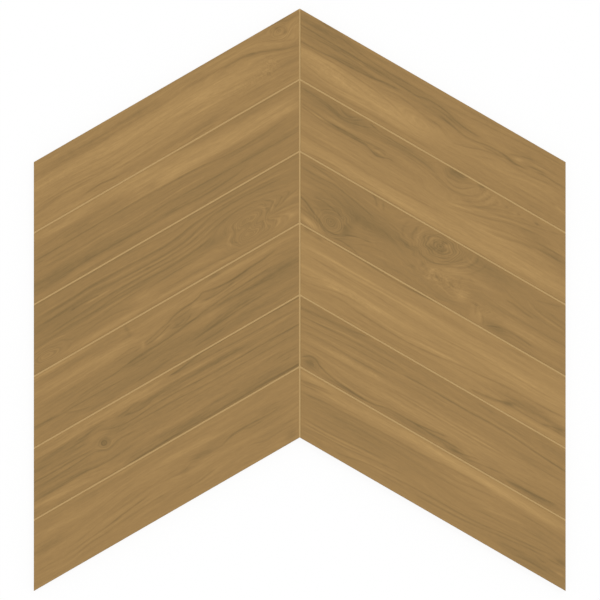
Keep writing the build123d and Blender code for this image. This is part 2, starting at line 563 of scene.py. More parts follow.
# Pale above and dark below a torn line that climbs to the centre joint
LEFT_4 = Figure(
    tone=128,
    patches=(
        Patch(11, (18, 1), (12, 4)), Patch(6, (16, 25), (18, 7)), Patch(3, (26, 36), (22, 12)),
        Patch(-4, (56, 84), (50, 14)), Patch(4, (36, 28), (9, 7)), Patch(6, (56, 13), (10, 7)),
        Patch(7, (80, 9), (18, 5)), Patch(-5, (14, 50), (12, 6)), Patch(-8, (80, 52), (16, 11)),
        Patch(-3, (92, 50), (8, 14)), Patch(-5, (56, 38), (4.5, 9)), Patch(-6, (38, 60), (6, 4)),
        Patch(9, (48.5, 47), (2.6, 3), tilt=-0.8), Patch(7, (62.4, 29), (2.6, 4)),
        Patch(5, (64, 38), (4, 3), tilt=-1), Patch(5, (65.5, 56), (4, 5)),
        Patch(8, (42.8, 44), (0.7, 4), tilt=-4), Patch(-4, (50, 70), (24, 8)), Patch(-7, (71, 3), (2, 3)),
        Patch(-4, (84, 7), (2.4, 2.4)), Patch(-7, (40.9, 10), (0.6, 9)), Patch(-5, (40, 19), (2, 1.6)),
    ),
    streaks=(
        Streak(-16, ((49, 36), (52, 33), (55, 27.5), (58, 25), (62, 23.5), (64, 21), (65.3, 18),
            (67, 19.5), (70, 22.5), (75, 24), (80, 22), (86, 20), (92, 16.5)), 1.5, 1.4, fade=5),
        Streak(-12, ((42.5, 43), (46, 40), (49, 36), (52, 32)), 1.3, fade=2),
        Streak(-14, ((42.5, 47), (46, 45.5), (49, 42.5), (51.5, 38), (53.5, 36)), 1.2, 1.3, fade=2),
        Streak(-10, ((72, 25), (76, 24.5), (82, 22)), 1.4, 2.6, fade=4),
        Streak(-12, ((16, 66.5), (22, 63), (27, 62), (33, 60.5), (38, 57)), 1.2, 1.4, fade=6),
        Streak(-16, ((34, 59.5), (38, 57), (42, 55.8), (47, 55.5), (52, 53.5), (56, 51), (60, 48.5),
            (63.5, 46.5), (66, 49)), 1.4, 1.6, fade=4),
        Streak(-9, ((33, 61), (38, 63.5), (43, 62), (48, 59), (54, 57)), 1.2, 1.6, fade=4),
        Streak(-10, ((32, 42.5), (36, 40.5), (39, 39), (42, 41)), fade=2),
        Streak(-8, ((31.5, 47), (36, 45.5), (40, 46.5), (42.5, 44)), fade=2),
        Streak(-11, ((51.5, 41), (54, 46), (57, 46), (59, 41), (60, 37)), 1.3, fade=1.5, steers=False),
        Streak(-9, ((53, 35), (56, 34), (59, 32), (61.5, 28)), 1.2, fade=1.5, steers=False),
        Streak(-9, ((53, 41), (55, 43.5), (57.5, 40)), 1.2, fade=1.5, steers=False),
        Streak(-12, ((63.2, 24), (64.6, 29), (67, 32), (71, 31.5), (76, 28)), 1.3, fade=2, steers=False),
        Streak(7, ((65, 37), (70, 34.5), (78, 31.5), (86, 29), (94, 27)), 1.2, 1.4),
        Streak(-9, ((66, 38), (72, 35), (79, 32), (85, 30.5), (91, 29.5)), 1.1, 1.2),
        Streak(-12, ((60, 47), (63, 45), (66, 44.5), (70, 42), (78, 40), (90, 37)), 1.4),
        Streak(-11, ((65, 48), (69, 48), (74, 46.5)), 1.2, 1.4, fade=3),
        Streak(-3, ((74, 50), (80, 50), (88, 49), (96, 47)), 1.3, 2),
        Streak(-14, ((54, 79), (60, 76.5), (65, 72.5), (70, 68.5), (74, 67), (80, 67)), 1.5, 1.8, fade=5),
        Streak(-14, ((60, 77), (66, 74.5), (71, 72.5), (76, 71), (80, 70.5), (85, 71)), 1.1, 1.4, fade=5),
        Streak(5, ((70, 70), (76, 69), (83, 69))),
        Streak(5, ((68, 78), (76, 75.5), (84, 76)), 1.2, 1.4),
        Streak(-16, ((-3, 73), (6, 73), (12, 74)), 1.8, 1.2, fade=4),
        Streak(-12, ((-2, 76), (8, 75.5), (20, 75), (28, 76), (38, 77.5))),
        Streak(-9, ((11, 72.5), (15, 70), (20, 68), (25, 66), (30, 66)), fade=3),
        Streak(-7, ((12, 74), (14, 79), (17, 84.5), (21, 89)), fade=2),
        Streak(6, ((14, 76), (17, 82), (20, 86.5)), fade=2),
        Streak(-9, ((17, 95), (22, 93), (26, 94), (31, 94)), 1.4, 2, fade=4),
        Streak(-12, ((33, 92), (38, 90.5), (44, 88), (51, 86)), 1.1, 1.3, fade=5),
        Streak(-13, ((54, 90), (58, 88.5), (63, 87), (68, 84.5)), 1.2, 1.4, fade=4),
        Streak(-5, ((66, 84), (74, 83), (82, 86)), 1.2),
        Streak(-8, ((9, 9), (15, 8.7), (21, 7.5), (28, 6.5)), 1, 1.2),
        Streak(-5, ((8, 14), (16, 14), (26, 12), (34, 10)), 3, fade=8),
        Streak(-5, ((7, 38), (16, 38), (24, 36.5), (32, 34))),
        Streak(7, ((6, 40.5), (16, 39.5), (26, 38.5), (34, 35))),
        Streak(-5, ((4, 63), (10, 60), (18, 58), (28, 56)), 1.2),
        Streak(-5, ((50, 15), (56, 12), (64, 9), (70, 8))),
        Streak(-5, ((40, 30), (46, 27), (50, 23)), 1.3),
        Streak(-6, ((88, 24), (93, 27), (97, 26)), 1.3, 1.6, fade=3),
        Streak(-4, ((2, 92), (8, 91), (15, 92)), 2),
    ),
    sway=0.8,
)

# Bundles of dark lines, and one round knot with an eye
LEFT_5 = Figure(
    tone=126,
    liveliness=1.15,
    patches=(
        Patch(7, (30, 7), (24, 8)), Patch(5, (46, 8), (10, 8)), Patch(-4, (14, 34), (18, 12)),
        Patch(-4, (12, 63), (14, 5)), Patch(5, (52, 76), (12, 5)), Patch(8, (11, 84), (15, 6)),
        Patch(4, (20, 94), (12, 5)), Patch(-7, (54, 91), (8, 5)), Patch(-5, (80, 90), (16, 5)),
        Patch(-2, (60, 7), (5, 3)), Patch(2, (70, 56), (24, 14)), Patch(-3, (34, 40), (5, 5)),
        Patch(-14, (29.1, 48.5), (1.1, 5.5)), Patch(5, (29, 34), (4, 5)),
    ),
    streaks=(
        Band(-12, ((32, 23), (38, 25), (42, 24.5), (47, 24), (54, 23), (62, 24), (70, 25),
            (84, 27)), 4, 3.4, fade=9),
        Streak(-13, ((35, 24), (39, 22), (42.5, 18.5), (46, 21)), 1.6, fade=3),
        Streak(-12, ((38, 26), (41, 29.5), (45, 30), (48, 27)), 1.4, fade=2),
        Streak(9, ((39.5, 26.5), (42, 26.5), (45, 26)), fade=2),
        Streak(-4, ((66, 25), (76, 26), (86, 26), (98, 27)), 1.2, 1.6),
        Streak(-9, ((21, 24.5), (26, 23), (28.5, 20.5), (33, 22.5)), 1.3, fade=3),
        Streak(-8, ((25, 19), (29, 17.5), (34, 18.5)), fade=3),
        Streak(-9, ((18, 28.5), (22, 28), (27, 27)), 1.2, fade=3),
        Streak(-6, ((12, 21), (15, 20.5), (19, 20)), 1.2, fade=2),
        Streak(-6, ((7, 18), (16, 17.8), (26, 17.5)), 0.8, 2.2),
        Streak(10, ((7, 15.5), (18, 14.8), (26, 13), (34, 13.5), (46, 15.5), (58, 17), (72, 17.8),
            (88, 19.5), (100, 19)), 1.6, 1),
        Streak(-4, ((10, 9), (20, 9), (25, 6), (32, 3), (40, 2))),
        Streak(-15, ((30.5, 28), (32, 32), (34.5, 36.5), (38, 38.5), (43, 38), (48, 36), (54, 36),
            (60, 37.5), (70, 39), (82, 38.5), (98, 40)), fade=2),
        Streak(6, ((33, 33), (40, 33.5), (48, 32.5), (60, 34), (76, 34.5), (92, 34)), 1.2),
        Streak(-6, ((47, 31), (54, 31), (61, 32))),
        Streak(-9, ((30, 45), (38, 45), (45, 46), (53, 46.5), (62, 49), (74, 50), (97, 51))),
        Streak(-5, ((46, 58), (60, 58), (76, 59))),
        Streak(-17, ((54, 7), (58, 6.5), (62, 4), (66, 1), (72, 0), (84, -0.3), (92, 0.5),
            (104, 1.5)), 1.2, fade=3),
        Streak(-10, ((55, 6.5), (60, 9), (66, 10.5), (72, 12), (82, 14), (90, 15), (99, 16.5)), fade=3),
        Streak(-5, ((66, 15), (78, 16.5), (92, 17.5))),
        Streak(-13, ((2, 47.5), (12, 48.5), (20, 48), (24, 49), (27, 48)), 1, 1.2, fade=4),
        Streak(5, ((4, 45), (12, 45.5), (22, 45))),
        Streak(-10, ((2, 57), (12, 56.5), (20, 55.5), (25, 54), (27, 57)), 1, 1.3, fade=4),
        Streak(-12, ((25, 53.5), (27, 57), (29, 61), (31, 59.5), (33, 56.5), (36, 56),
            (40, 58)), 1.4, fade=2),
        Streak(-6, ((19, 35), (22, 34.5), (26, 36)), fade=3),
        Streak(-6, ((25, 42), (28, 37), (30.5, 35), (32.5, 42)), fade=2),
        Streak(-6, ((28, 33), (30.5, 30), (32, 34), (34, 42)), fade=2),
        Streak(-12, ((-1, 76.5), (8, 75.5), (14, 75.5), (20, 75), (24, 77.5), (28, 79), (33, 77),
            (39, 75)), 3, 1),
        Streak(-5, ((-1, 71), (10, 70), (20, 70), (26, 71)), 1.6),
        Streak(6, ((4, 85), (10, 87), (16, 89), (22, 92)), 1.3, fade=4),
        Streak(6, ((12, 80), (18, 81), (23, 86), (28, 91)), 1.3, fade=4),
        Streak(-18, ((30, 99.5), (38, 97.5), (46, 97), (60, 97), (75, 96.5), (98, 97)), 1.7, 2.4),
        Streak(-9, ((30, 94), (35, 91.5), (40, 91.5), (46, 90.5), (52, 88), (58, 84)), 1.1, 1.2, fade=4),
        Streak(6, ((33, 90), (38, 89.5), (44, 88))),
        Streak(-7, ((38, 87.5), (44, 86.5), (50, 85.5), (56, 83.5))),
        Streak(-6, ((56, 86), (60, 83), (66, 82), (76, 84), (90, 86)), 1.4),
        Streak(-8, ((80, 66), (86, 65), (90, 66.5), (95, 67)), fade=4),
        Streak(-7, ((83, 72), (88, 71), (93, 72)), fade=3),
        Streak(-8, ((85.5, 78), (87.5, 79.5), (89.5, 79)), 1.2, fade=1.5),
        Streak(-4, ((62, 67), (68, 66), (76, 68)), 1.2),
        Streak(-5, ((88, 26), (94, 25), (99, 25.5)), 1.2),
    ),
    knots=(Knot(-10, (((29.1, 48.5), (1.6, 7.5)),), crowding=1.2),),
)

# Even, with a few faint dark streaks
LEFT_6 = Figure(
    tone=130.5,
    patches=(
        Patch(5, (14, 25.5), (4, 2)), Patch(5, (56, 21.5), (5, 2)), Patch(5, (63.5, 24), (3.5, 2.4)),
        Patch(4, (66, 28), (6, 3)), Patch(-6, (10, 47), (6, 3.5)), Patch(-10, (61.5, 44), (3.4, 4.8)),
        Patch(-5, (56, 54), (1.6, 7), tilt=-2), Patch(-9, (88.2, 90), (1.8, 7), tilt=-1.5),
        Patch(-3, (84, 32), (9, 5)), Patch(-4, (70, 39), (10, 5)), Patch(3, (30, 60), (20, 5)),
        Patch(3, (22, 28), (16, 7)), Patch(3, (60, 24), (15, 7)), Patch(2, (70, 60), (16, 6)),
        Patch(-3, (30, 9), (24, 4)),
    ),
    streaks=(
        Streak(-7, ((13, 69), (18, 65), (22, 61.5), (27, 56.5), (32, 54), (37, 51), (43, 48),
            (50, 45.5), (58, 41)), 1.2, 1.4),
        Streak(-9, ((0, 75), (8, 74.5), (13, 74.5), (18, 73), (23, 70.5), (28, 68.5), (34, 63.5),
            (40, 60), (46, 55)), 1.3, 1.5),
        Streak(-8, ((26, 69.5), (32, 65.5), (37, 62), (44, 57)), 1.8, fade=5),
        Streak(-7, ((44, 56), (50, 51.5), (55, 51.5), (58, 48), (62, 44)), 1.4, 1.8),
        Streak(5, ((12, 79), (17, 76.5), (22, 73.5), (28, 71.5), (34, 69), (42, 67.5), (52, 67))),
        Streak(-7, ((9, 86), (14, 85), (18, 81), (21, 78.5), (27, 76.5), (33, 73.5), (42, 70.5),
            (52, 70))),
        Streak(5, ((32, 82), (40, 80), (47, 77), (54, 74))),
        Streak(-7, ((46, 80), (52, 78), (58, 75), (64, 71)), 1.2),
        Streak(-12, ((51, 80.5), (55, 79.5), (58, 79.5), (61, 77), (65, 74.5)), 1.1, 1.3, fade=4),
        Streak(5, ((56, 83), (61, 81), (65, 77.5), (69, 76)), fade=3),
        Streak(-8, ((62, 48), (66, 46.5), (69.5, 46), (72, 42), (75, 40)), 1.2, 1.6, fade=4),
        Streak(-12, ((70, 43), (73, 40.5), (76, 39.5), (80, 40), (86, 41), (92, 38.5)), 1.2, 1.6, fade=4),
        Streak(-9, ((77, 43.5), (80.5, 45), (84, 44.5)), 1.2, 1.4, fade=2),
        Streak(-8, ((82.5, 38), (86, 37), (90, 38)), fade=2),
        Streak(-9, ((83, 31), (86, 30), (91, 30.5)), fade=2),
        Streak(-5, ((83, 34), (87, 33), (91, 34)), fade=2),
        Streak(7, ((54.5, 52), (57, 48), (59, 42)), fade=1.5, steers=False),
        Streak(5, ((60, 56), (64, 53), (69, 50))),
        Streak(-4, ((50, 36), (56, 35), (62, 38)), 1.2, fade=4),
        Streak(6, ((6, 41), (12, 39.5), (20, 37.5)), 1.2),
        Streak(-6, ((6, 44), (12, 42.5), (20, 41)), 1.1, 1.2),
        Streak(-6, ((5, 52), (9, 52), (14, 50)), 1.1, 1.2),
        Streak(5, ((4, 62), (12, 56.5), (20, 52), (30, 46), (40, 38)), 1.2),
        Streak(-4, ((18, 46), (26, 40), (34, 32), (44, 28)), 1.2),
        Streak(5, ((26, 32), (34, 25), (42, 21), (50, 18))),
        Streak(-5, ((8, 11), (15, 9.5), (24, 11), (34, 13)), 1.3),
        Streak(5, ((30, 4), (42, 3), (52, 1)), 1.2),
        Streak(-7, ((75, 70), (78, 71.5), (80, 75), (86, 75), (93, 77)), 1.2, fade=4),
        Streak(-8, ((86, 69), (90, 68.5), (94, 71)), 1.2, 1.3, fade=3),
        Streak(-5, ((72, 80), (78, 77.5), (84, 79)), 1.2),
        Streak(-5, ((66, 92), (72, 87), (80, 86)), 1.2, fade=4),
        Streak(3, ((62, 86), (70, 82), (78, 82)), 1.2),
        Streak(-4, ((70, 54), (80, 55), (93, 52)), 1.2),
        Streak(4, ((50, 65), (58, 63.5), (68, 62)), 1.4),
    ),
    sway=0.8,
)

# Long dark streaks, and a flame of dark lines towards the outer end
RIGHT_1 = Figure(
    tone=131.5,
    patches=(
        Patch(-12, (10, 12), (13, 8)), Patch(-8, (9, 3), (3, 2)), Patch(12, (26, 68), (22, 14)),
        Patch(8, (45, 68), (11, 14)), Patch(-5, (18, 31), (26, 11)), Patch(5, (12, 58), (9, 8)),
        Patch(7, (38, 86), (16, 5)), Patch(-9, (22, 39), (7, 2.6)), Patch(-6, (52, 36), (9, 7)),
        Patch(-5, (34, 22), (14, 5)), Patch(-5, (49.5, 52.5), (3, 3)), Patch(4, (80, 68), (18, 9)),
        Patch(-3, (84, 90), (22, 7)), Patch(-15, (75.2, 43.5), (2.2, 2.6), tilt=0.4),
        Patch(11, (77.6, 35), (1.3, 2.4), tilt=-1), Patch(-3, (80, 22), (20, 8)),
        Patch(5, (66, 26), (6, 4)),
    ),
    streaks=(
        Streak(-12, ((9, 6), (14, 7.5), (17, 10), (20, 13), (26, 16.5), (32, 18.5), (40, 18),
            (48, 17)), 1.2),
        Streak(-15, ((-1, 20.5), (6, 22.5), (12, 23), (20, 24), (28, 25), (36, 27),
            (45, 28.5)), 1.2, 1.3),
        Streak(-8, ((1, 27), (8, 26.5), (16, 27), (26, 28), (34, 30))),
        Streak(-10, ((1, 33), (8, 30.5), (15, 30), (22, 31), (29, 32))),
        Streak(-10, ((14, 37), (18, 35), (23, 35.5), (28, 37), (33, 34)), 1.2),
        Streak(-19, ((3, 46), (8, 45.5), (12, 44.5), (16, 42.5), (20, 42.5), (24, 41.5), (28, 39.5),
            (32, 36), (38, 34)), 1.2, 1.5, fade=3),
        Streak(-11, ((2, 49), (10, 49.5), (20, 50.5), (28, 54), (32, 56), (37, 61), (41, 67),
            (47, 78)), 1.2),
        Streak(-10, ((9, 57), (18, 59), (25, 63), (30, 68), (34, 73), (38, 79)), 1.2),
        Streak(8, ((14, 67), (20, 69), (25, 73), (29, 77)), 1.4),
        Streak(6, ((26, 64), (31, 69), (37, 76)), 1.4),
        Streak(7, ((36, 68), (41, 75), (46, 80)), 1.4),
        Streak(-11, ((6, 74), (11, 77), (16, 82), (21, 83), (27, 80)), 1.2),
        Streak(6, ((8, 78), (12, 80), (17, 84), (23, 84), (32, 80)), 1.3),
        Streak(7, ((10, 88), (20, 88), (29, 86), (40, 84), (54, 84)), 1.2, 1.4),
        Streak(-5, ((6, 92), (20, 93.5), (38, 93), (56, 93)), 1.6),
        Streak(-8, ((32, 46), (37, 43.5), (41, 45), (45, 49), (50, 51.5)), 1.2),
        Streak(-8, ((49, 50.5), (52, 53), (54, 57), (55.7, 62), (57, 69)), 1.2, fade=2),
        Streak(-10, ((57, 68), (60, 64), (63, 59), (66, 53), (69, 49), (74, 45)), 1.2, fade=2),
        Streak(6, ((44, 56), (49, 60), (52, 66), (54, 78)), 1.2, fade=3),
        Streak(-6, ((62, 71), (66, 65), (70, 58), (75, 52)), 1.2),
        Streak(-14, ((40, 31), (46, 24.5), (50, 25), (53, 28), (57, 32.5), (61, 35),
            (66, 35.5)), 1.3, 1.4, fade=4),
        Streak(-7, ((46, 30), (50, 30.5), (54, 34), (59, 38.5), (64, 39))),
        Streak(-16, ((50, 38.5), (54, 40.5), (57, 43.5), (60, 46), (63, 45.5), (67, 41.5), (71, 40),
            (76, 41)), 1.2, 1.4, fade=3),
        Streak(-14, ((65, 47.5), (69, 45.5), (74, 46)), fade=3),
        Streak(-14, ((73.3, 39), (75, 33.5), (77, 30), (79.5, 26), (83, 22)), 1.3, fade=3),
        Streak(-22, ((75, 45), (78, 44), (82, 41.5)), 1.3, 1.8, fade=3),
        Streak(-16, ((79, 40), (82, 35.5), (85, 34), (88, 33)), 1.3, 1.5, fade=4),
        Streak(-16, ((82, 41), (86, 37), (90, 38), (95, 38)), 1.3, 1.5, fade=4),
        Streak(-7, ((82, 28), (87, 26), (94, 26))),
        Streak(6, ((80, 32), (84, 29.5), (89, 29.5)), 1.2),
        Streak(-7, ((46, 17), (57, 16), (63, 13), (70, 11), (82, 8), (92, 8)), 1.1, 1.2),
        Streak(-5, ((52, 10), (62, 6), (74, 3))),
        Streak(5, ((50, 21), (58, 21), (66, 18), (76, 15), (88, 14)), 1.2),
        Streak(5, ((72, 65), (76, 60), (80, 54), (85, 50.5), (92, 50)), 1.3),
        Streak(6, ((76, 69), (80, 63), (86, 59), (92, 62), (96, 70)), 1.3),
        Streak(-6, ((78, 58), (82, 52), (87, 46), (94, 46))),
        Streak(-6, ((74, 76), (85, 77), (95, 77)), 1.2),
        Streak(-10, ((91, 70), (92.3, 70.5), (94, 70)), 1.4, 1.6, fade=1.5),
        Streak(8, ((93, 71.5), (95, 73), (97, 76)), 1.2, fade=2),
        Streak(-9, ((93, 52), (95, 58), (97, 64)), fade=2),
        Streak(-4, ((60, 84), (74, 85), (90, 87)), 1.4),
    ),
    curls=(Patch(4, (18, 66), (14, 12)),),
)

# A dark line that forks, and nested arcs under a knot cut off by the upper side
RIGHT_2 = Figure(
    tone=131,
    patches=(
        Patch(-9, (14, 14), (16, 12)), Patch(5, (16, 30), (5, 2.6)), Patch(-9, (19, 37), (9, 2.4)),
        Patch(12, (10, 36.4), (3, 1.1)), Patch(-9, (30, 41.5), (1.7, 2.6)),
        Patch(7, (30, 37.5), (1.3, 1.6)), Patch(4, (24, 58), (30, 10)), Patch(12, (42, 88), (44, 9)),
        Patch(-6, (40, 12), (12, 8)), Patch(-13, (53.4, 3), (3.3, 8)), Patch(-9, (61.6, 1), (1.4, 4)),
        Patch(7, (70, 70), (18, 18)), Patch(5, (90, 80), (14, 14)), Patch(-4, (82, 27), (8, 8)),
        Patch(-6, (89, 41), (6, 4)), Patch(3, (56, 46), (8, 8)), Patch(-10, (70.8, 10), (0.5, 1.5)),
        Patch(-9, (75, 11), (0.5, 1.5)), Patch(-10, (81, 9.5), (0.7, 1.5)),
        Patch(-7, (67.8, 12), (0.5, 1.3)),
    ),
    streaks=(
        Streak(-11, ((1, 9), (6, 9.5), (10, 11), (13, 14.5), (16, 17), (18, 14), (21, 7),
            (22, 2)), 1.2, 1.4, fade=2),
        Streak(-9, ((0, 12.5), (6, 13), (10, 13.5), (13, 17.5), (17, 20), (21, 16), (25, 8),
            (27, 2)), fade=2),
        Streak(-8, ((13.4, 3), (15, 8.5), (17.3, 11.5), (19.5, 7)), fade=1.5),
        Streak(9, ((12.2, 2), (14, 8), (16.6, 13.5), (19, 11), (20.5, 4)), fade=1.5),
        Streak(-12, ((22.5, 1), (25, 5), (27.5, 7.5), (31, 8.5), (35, 9), (40, 8)), 1.1, 1.2, fade=3),
        Streak(5, ((27, 4), (32, 5), (38, 4.5))),
        Streak(-6, ((26, 14), (32, 13), (40, 14), (46, 18), (52, 26))),
        Streak(-7, ((36, 18.5), (41, 20), (46, 24), (50, 29), (54, 36))),
        Streak(6, ((28, 18.5), (36, 17.5), (41, 19.5), (46, 24), (50, 30))),
        Streak(-5, ((1, 22), (10, 21), (17, 24), (24, 23))),
        Streak(-5, ((2, 27), (8, 26.5), (14, 28))),
        Streak(6, ((18, 30), (22, 27), (26, 25), (32, 25))),
        Streak(-14, ((2.5, 31), (6, 32), (10, 34), (13, 35.7), (18, 35), (24, 34.7), (28, 32.5),
            (33, 31.5)), 1.1, 1.2, fade=2),
        Streak(-15, ((3, 35.5), (7, 37), (11, 39.5), (15, 40), (22, 39), (26, 38.5), (28, 41),
            (30, 44.5), (32, 42), (34, 38.5), (36.5, 40)), 1.1, 1.2, fade=2),
        Streak(-7, ((14, 37.5), (20, 37), (27, 36.5)), fade=2),
        Streak(-12, ((28, 36), (29, 34.5), (31.5, 35), (33, 38)), fade=1),
        Streak(-5, ((6, 45), (14, 46), (24, 46), (30, 51), (36, 48))),
        Streak(-4, ((6, 56), (20, 57), (32, 61), (46, 58))),
        Streak(4, ((8, 66), (24, 67), (40, 68), (56, 62)), 1.2),
        Streak(-5, ((6, 76), (24, 76), (42, 76), (60, 70)), 1.2),
        Streak(-13, ((11, 98), (16, 95.5), (21, 94), (25, 95)), 1.1, 1.2, fade=4),
        Streak(-9, ((26, 95), (31, 93), (38, 91)), fade=4),
        Streak(-5, ((24, 86), (40, 84), (54, 80), (66, 76))),
        Streak(-9, ((49.7, 1), (50.6, 10), (53, 14.5), (55.7, 12), (57, 5)), 1.3, 1.5, fade=1.5),
        Streak(5, ((49, 6), (50, 15), (53, 18.5), (56.5, 15), (58.3, 6)), fade=1.5),
        Streak(-11, ((50, 17), (52, 21.5), (54, 24), (57, 20), (59, 12), (60.3, 4)), 1.2, 1.4, fade=1.5),
        Streak(-9, ((46, 22), (51, 27), (55, 31), (59, 27), (61.5, 17), (62.6, 6)), fade=3),
        Streak(-8, ((55, 50), (61, 41), (65, 31), (69, 21), (72, 14), (74, 6)), fade=4),
        Streak(5, ((55, 53), (61, 45), (66, 34), (70, 25), (74, 17), (78, 8)), fade=4),
        Streak(-6, ((58, 62), (66, 55), (74, 47), (80, 42))),
        Streak(5, ((62, 62), (70, 55), (78, 47), (84, 43))),
        Streak(6, ((53, 56), (60, 48), (66, 41), (70, 33), (75, 26), (82, 20)), 1.2, 1.4, fade=4),
        Streak(-9, ((54, 60), (60, 53), (64, 48), (68, 42), (72, 35), (77, 29), (84, 24)), fade=4),
        Streak(-7, ((68, 33), (72, 26), (78, 19), (84, 12), (91, 2)), fade=4),
        Streak(-5, ((68, 20), (74, 15), (80, 12), (85, 5)), fade=4),
        Streak(-12, ((79, 39), (84, 37), (89, 36), (95, 35)), 1.3, 1.4, fade=4),
        Streak(-12, ((82, 45.5), (87, 44.5), (96, 44)), 1.3, 1.5, fade=4),
        Streak(-6, ((84, 30), (90, 27), (96, 26))),
        Streak(-10, ((68, 61), (76, 55), (80, 50), (86, 45.5)), 2.4, fade=5),
        Streak(-7, ((66, 71), (80, 68), (94, 68)), 1.2),
        Streak(5, ((70, 64), (80, 60), (92, 59)), 1.2),
        Streak(-7, ((79, 94), (84, 93), (92, 94))),
        Streak(-4, ((58, 88), (70, 84), (84, 82), (96, 84))),
    ),
    slashes=(
        Slash(5, 0.4, ((63.9, 1), (63.8, 8), (63.3, 14), (62.4, 21), (60, 29))),
        Slash(-7, 0.4, ((65.3, 2), (65.1, 9), (64.5, 16), (63, 26), (60, 35), (56, 42))),
        Slash(4, 0.4, ((66.6, 4), (66.2, 12), (65.6, 20), (64, 29), (60, 39), (55, 46))),
        Slash(-7, 0.4, ((68, 8), (67.2, 18), (66, 25), (63, 34), (58, 44))),
        Slash(-8, 0.4, ((62.8, 1), (62.6, 8), (62, 16), (60, 24))),
    ),
    curls=(Patch(7, (64, 12), (4, 12)),),
    sway=0.8,
)

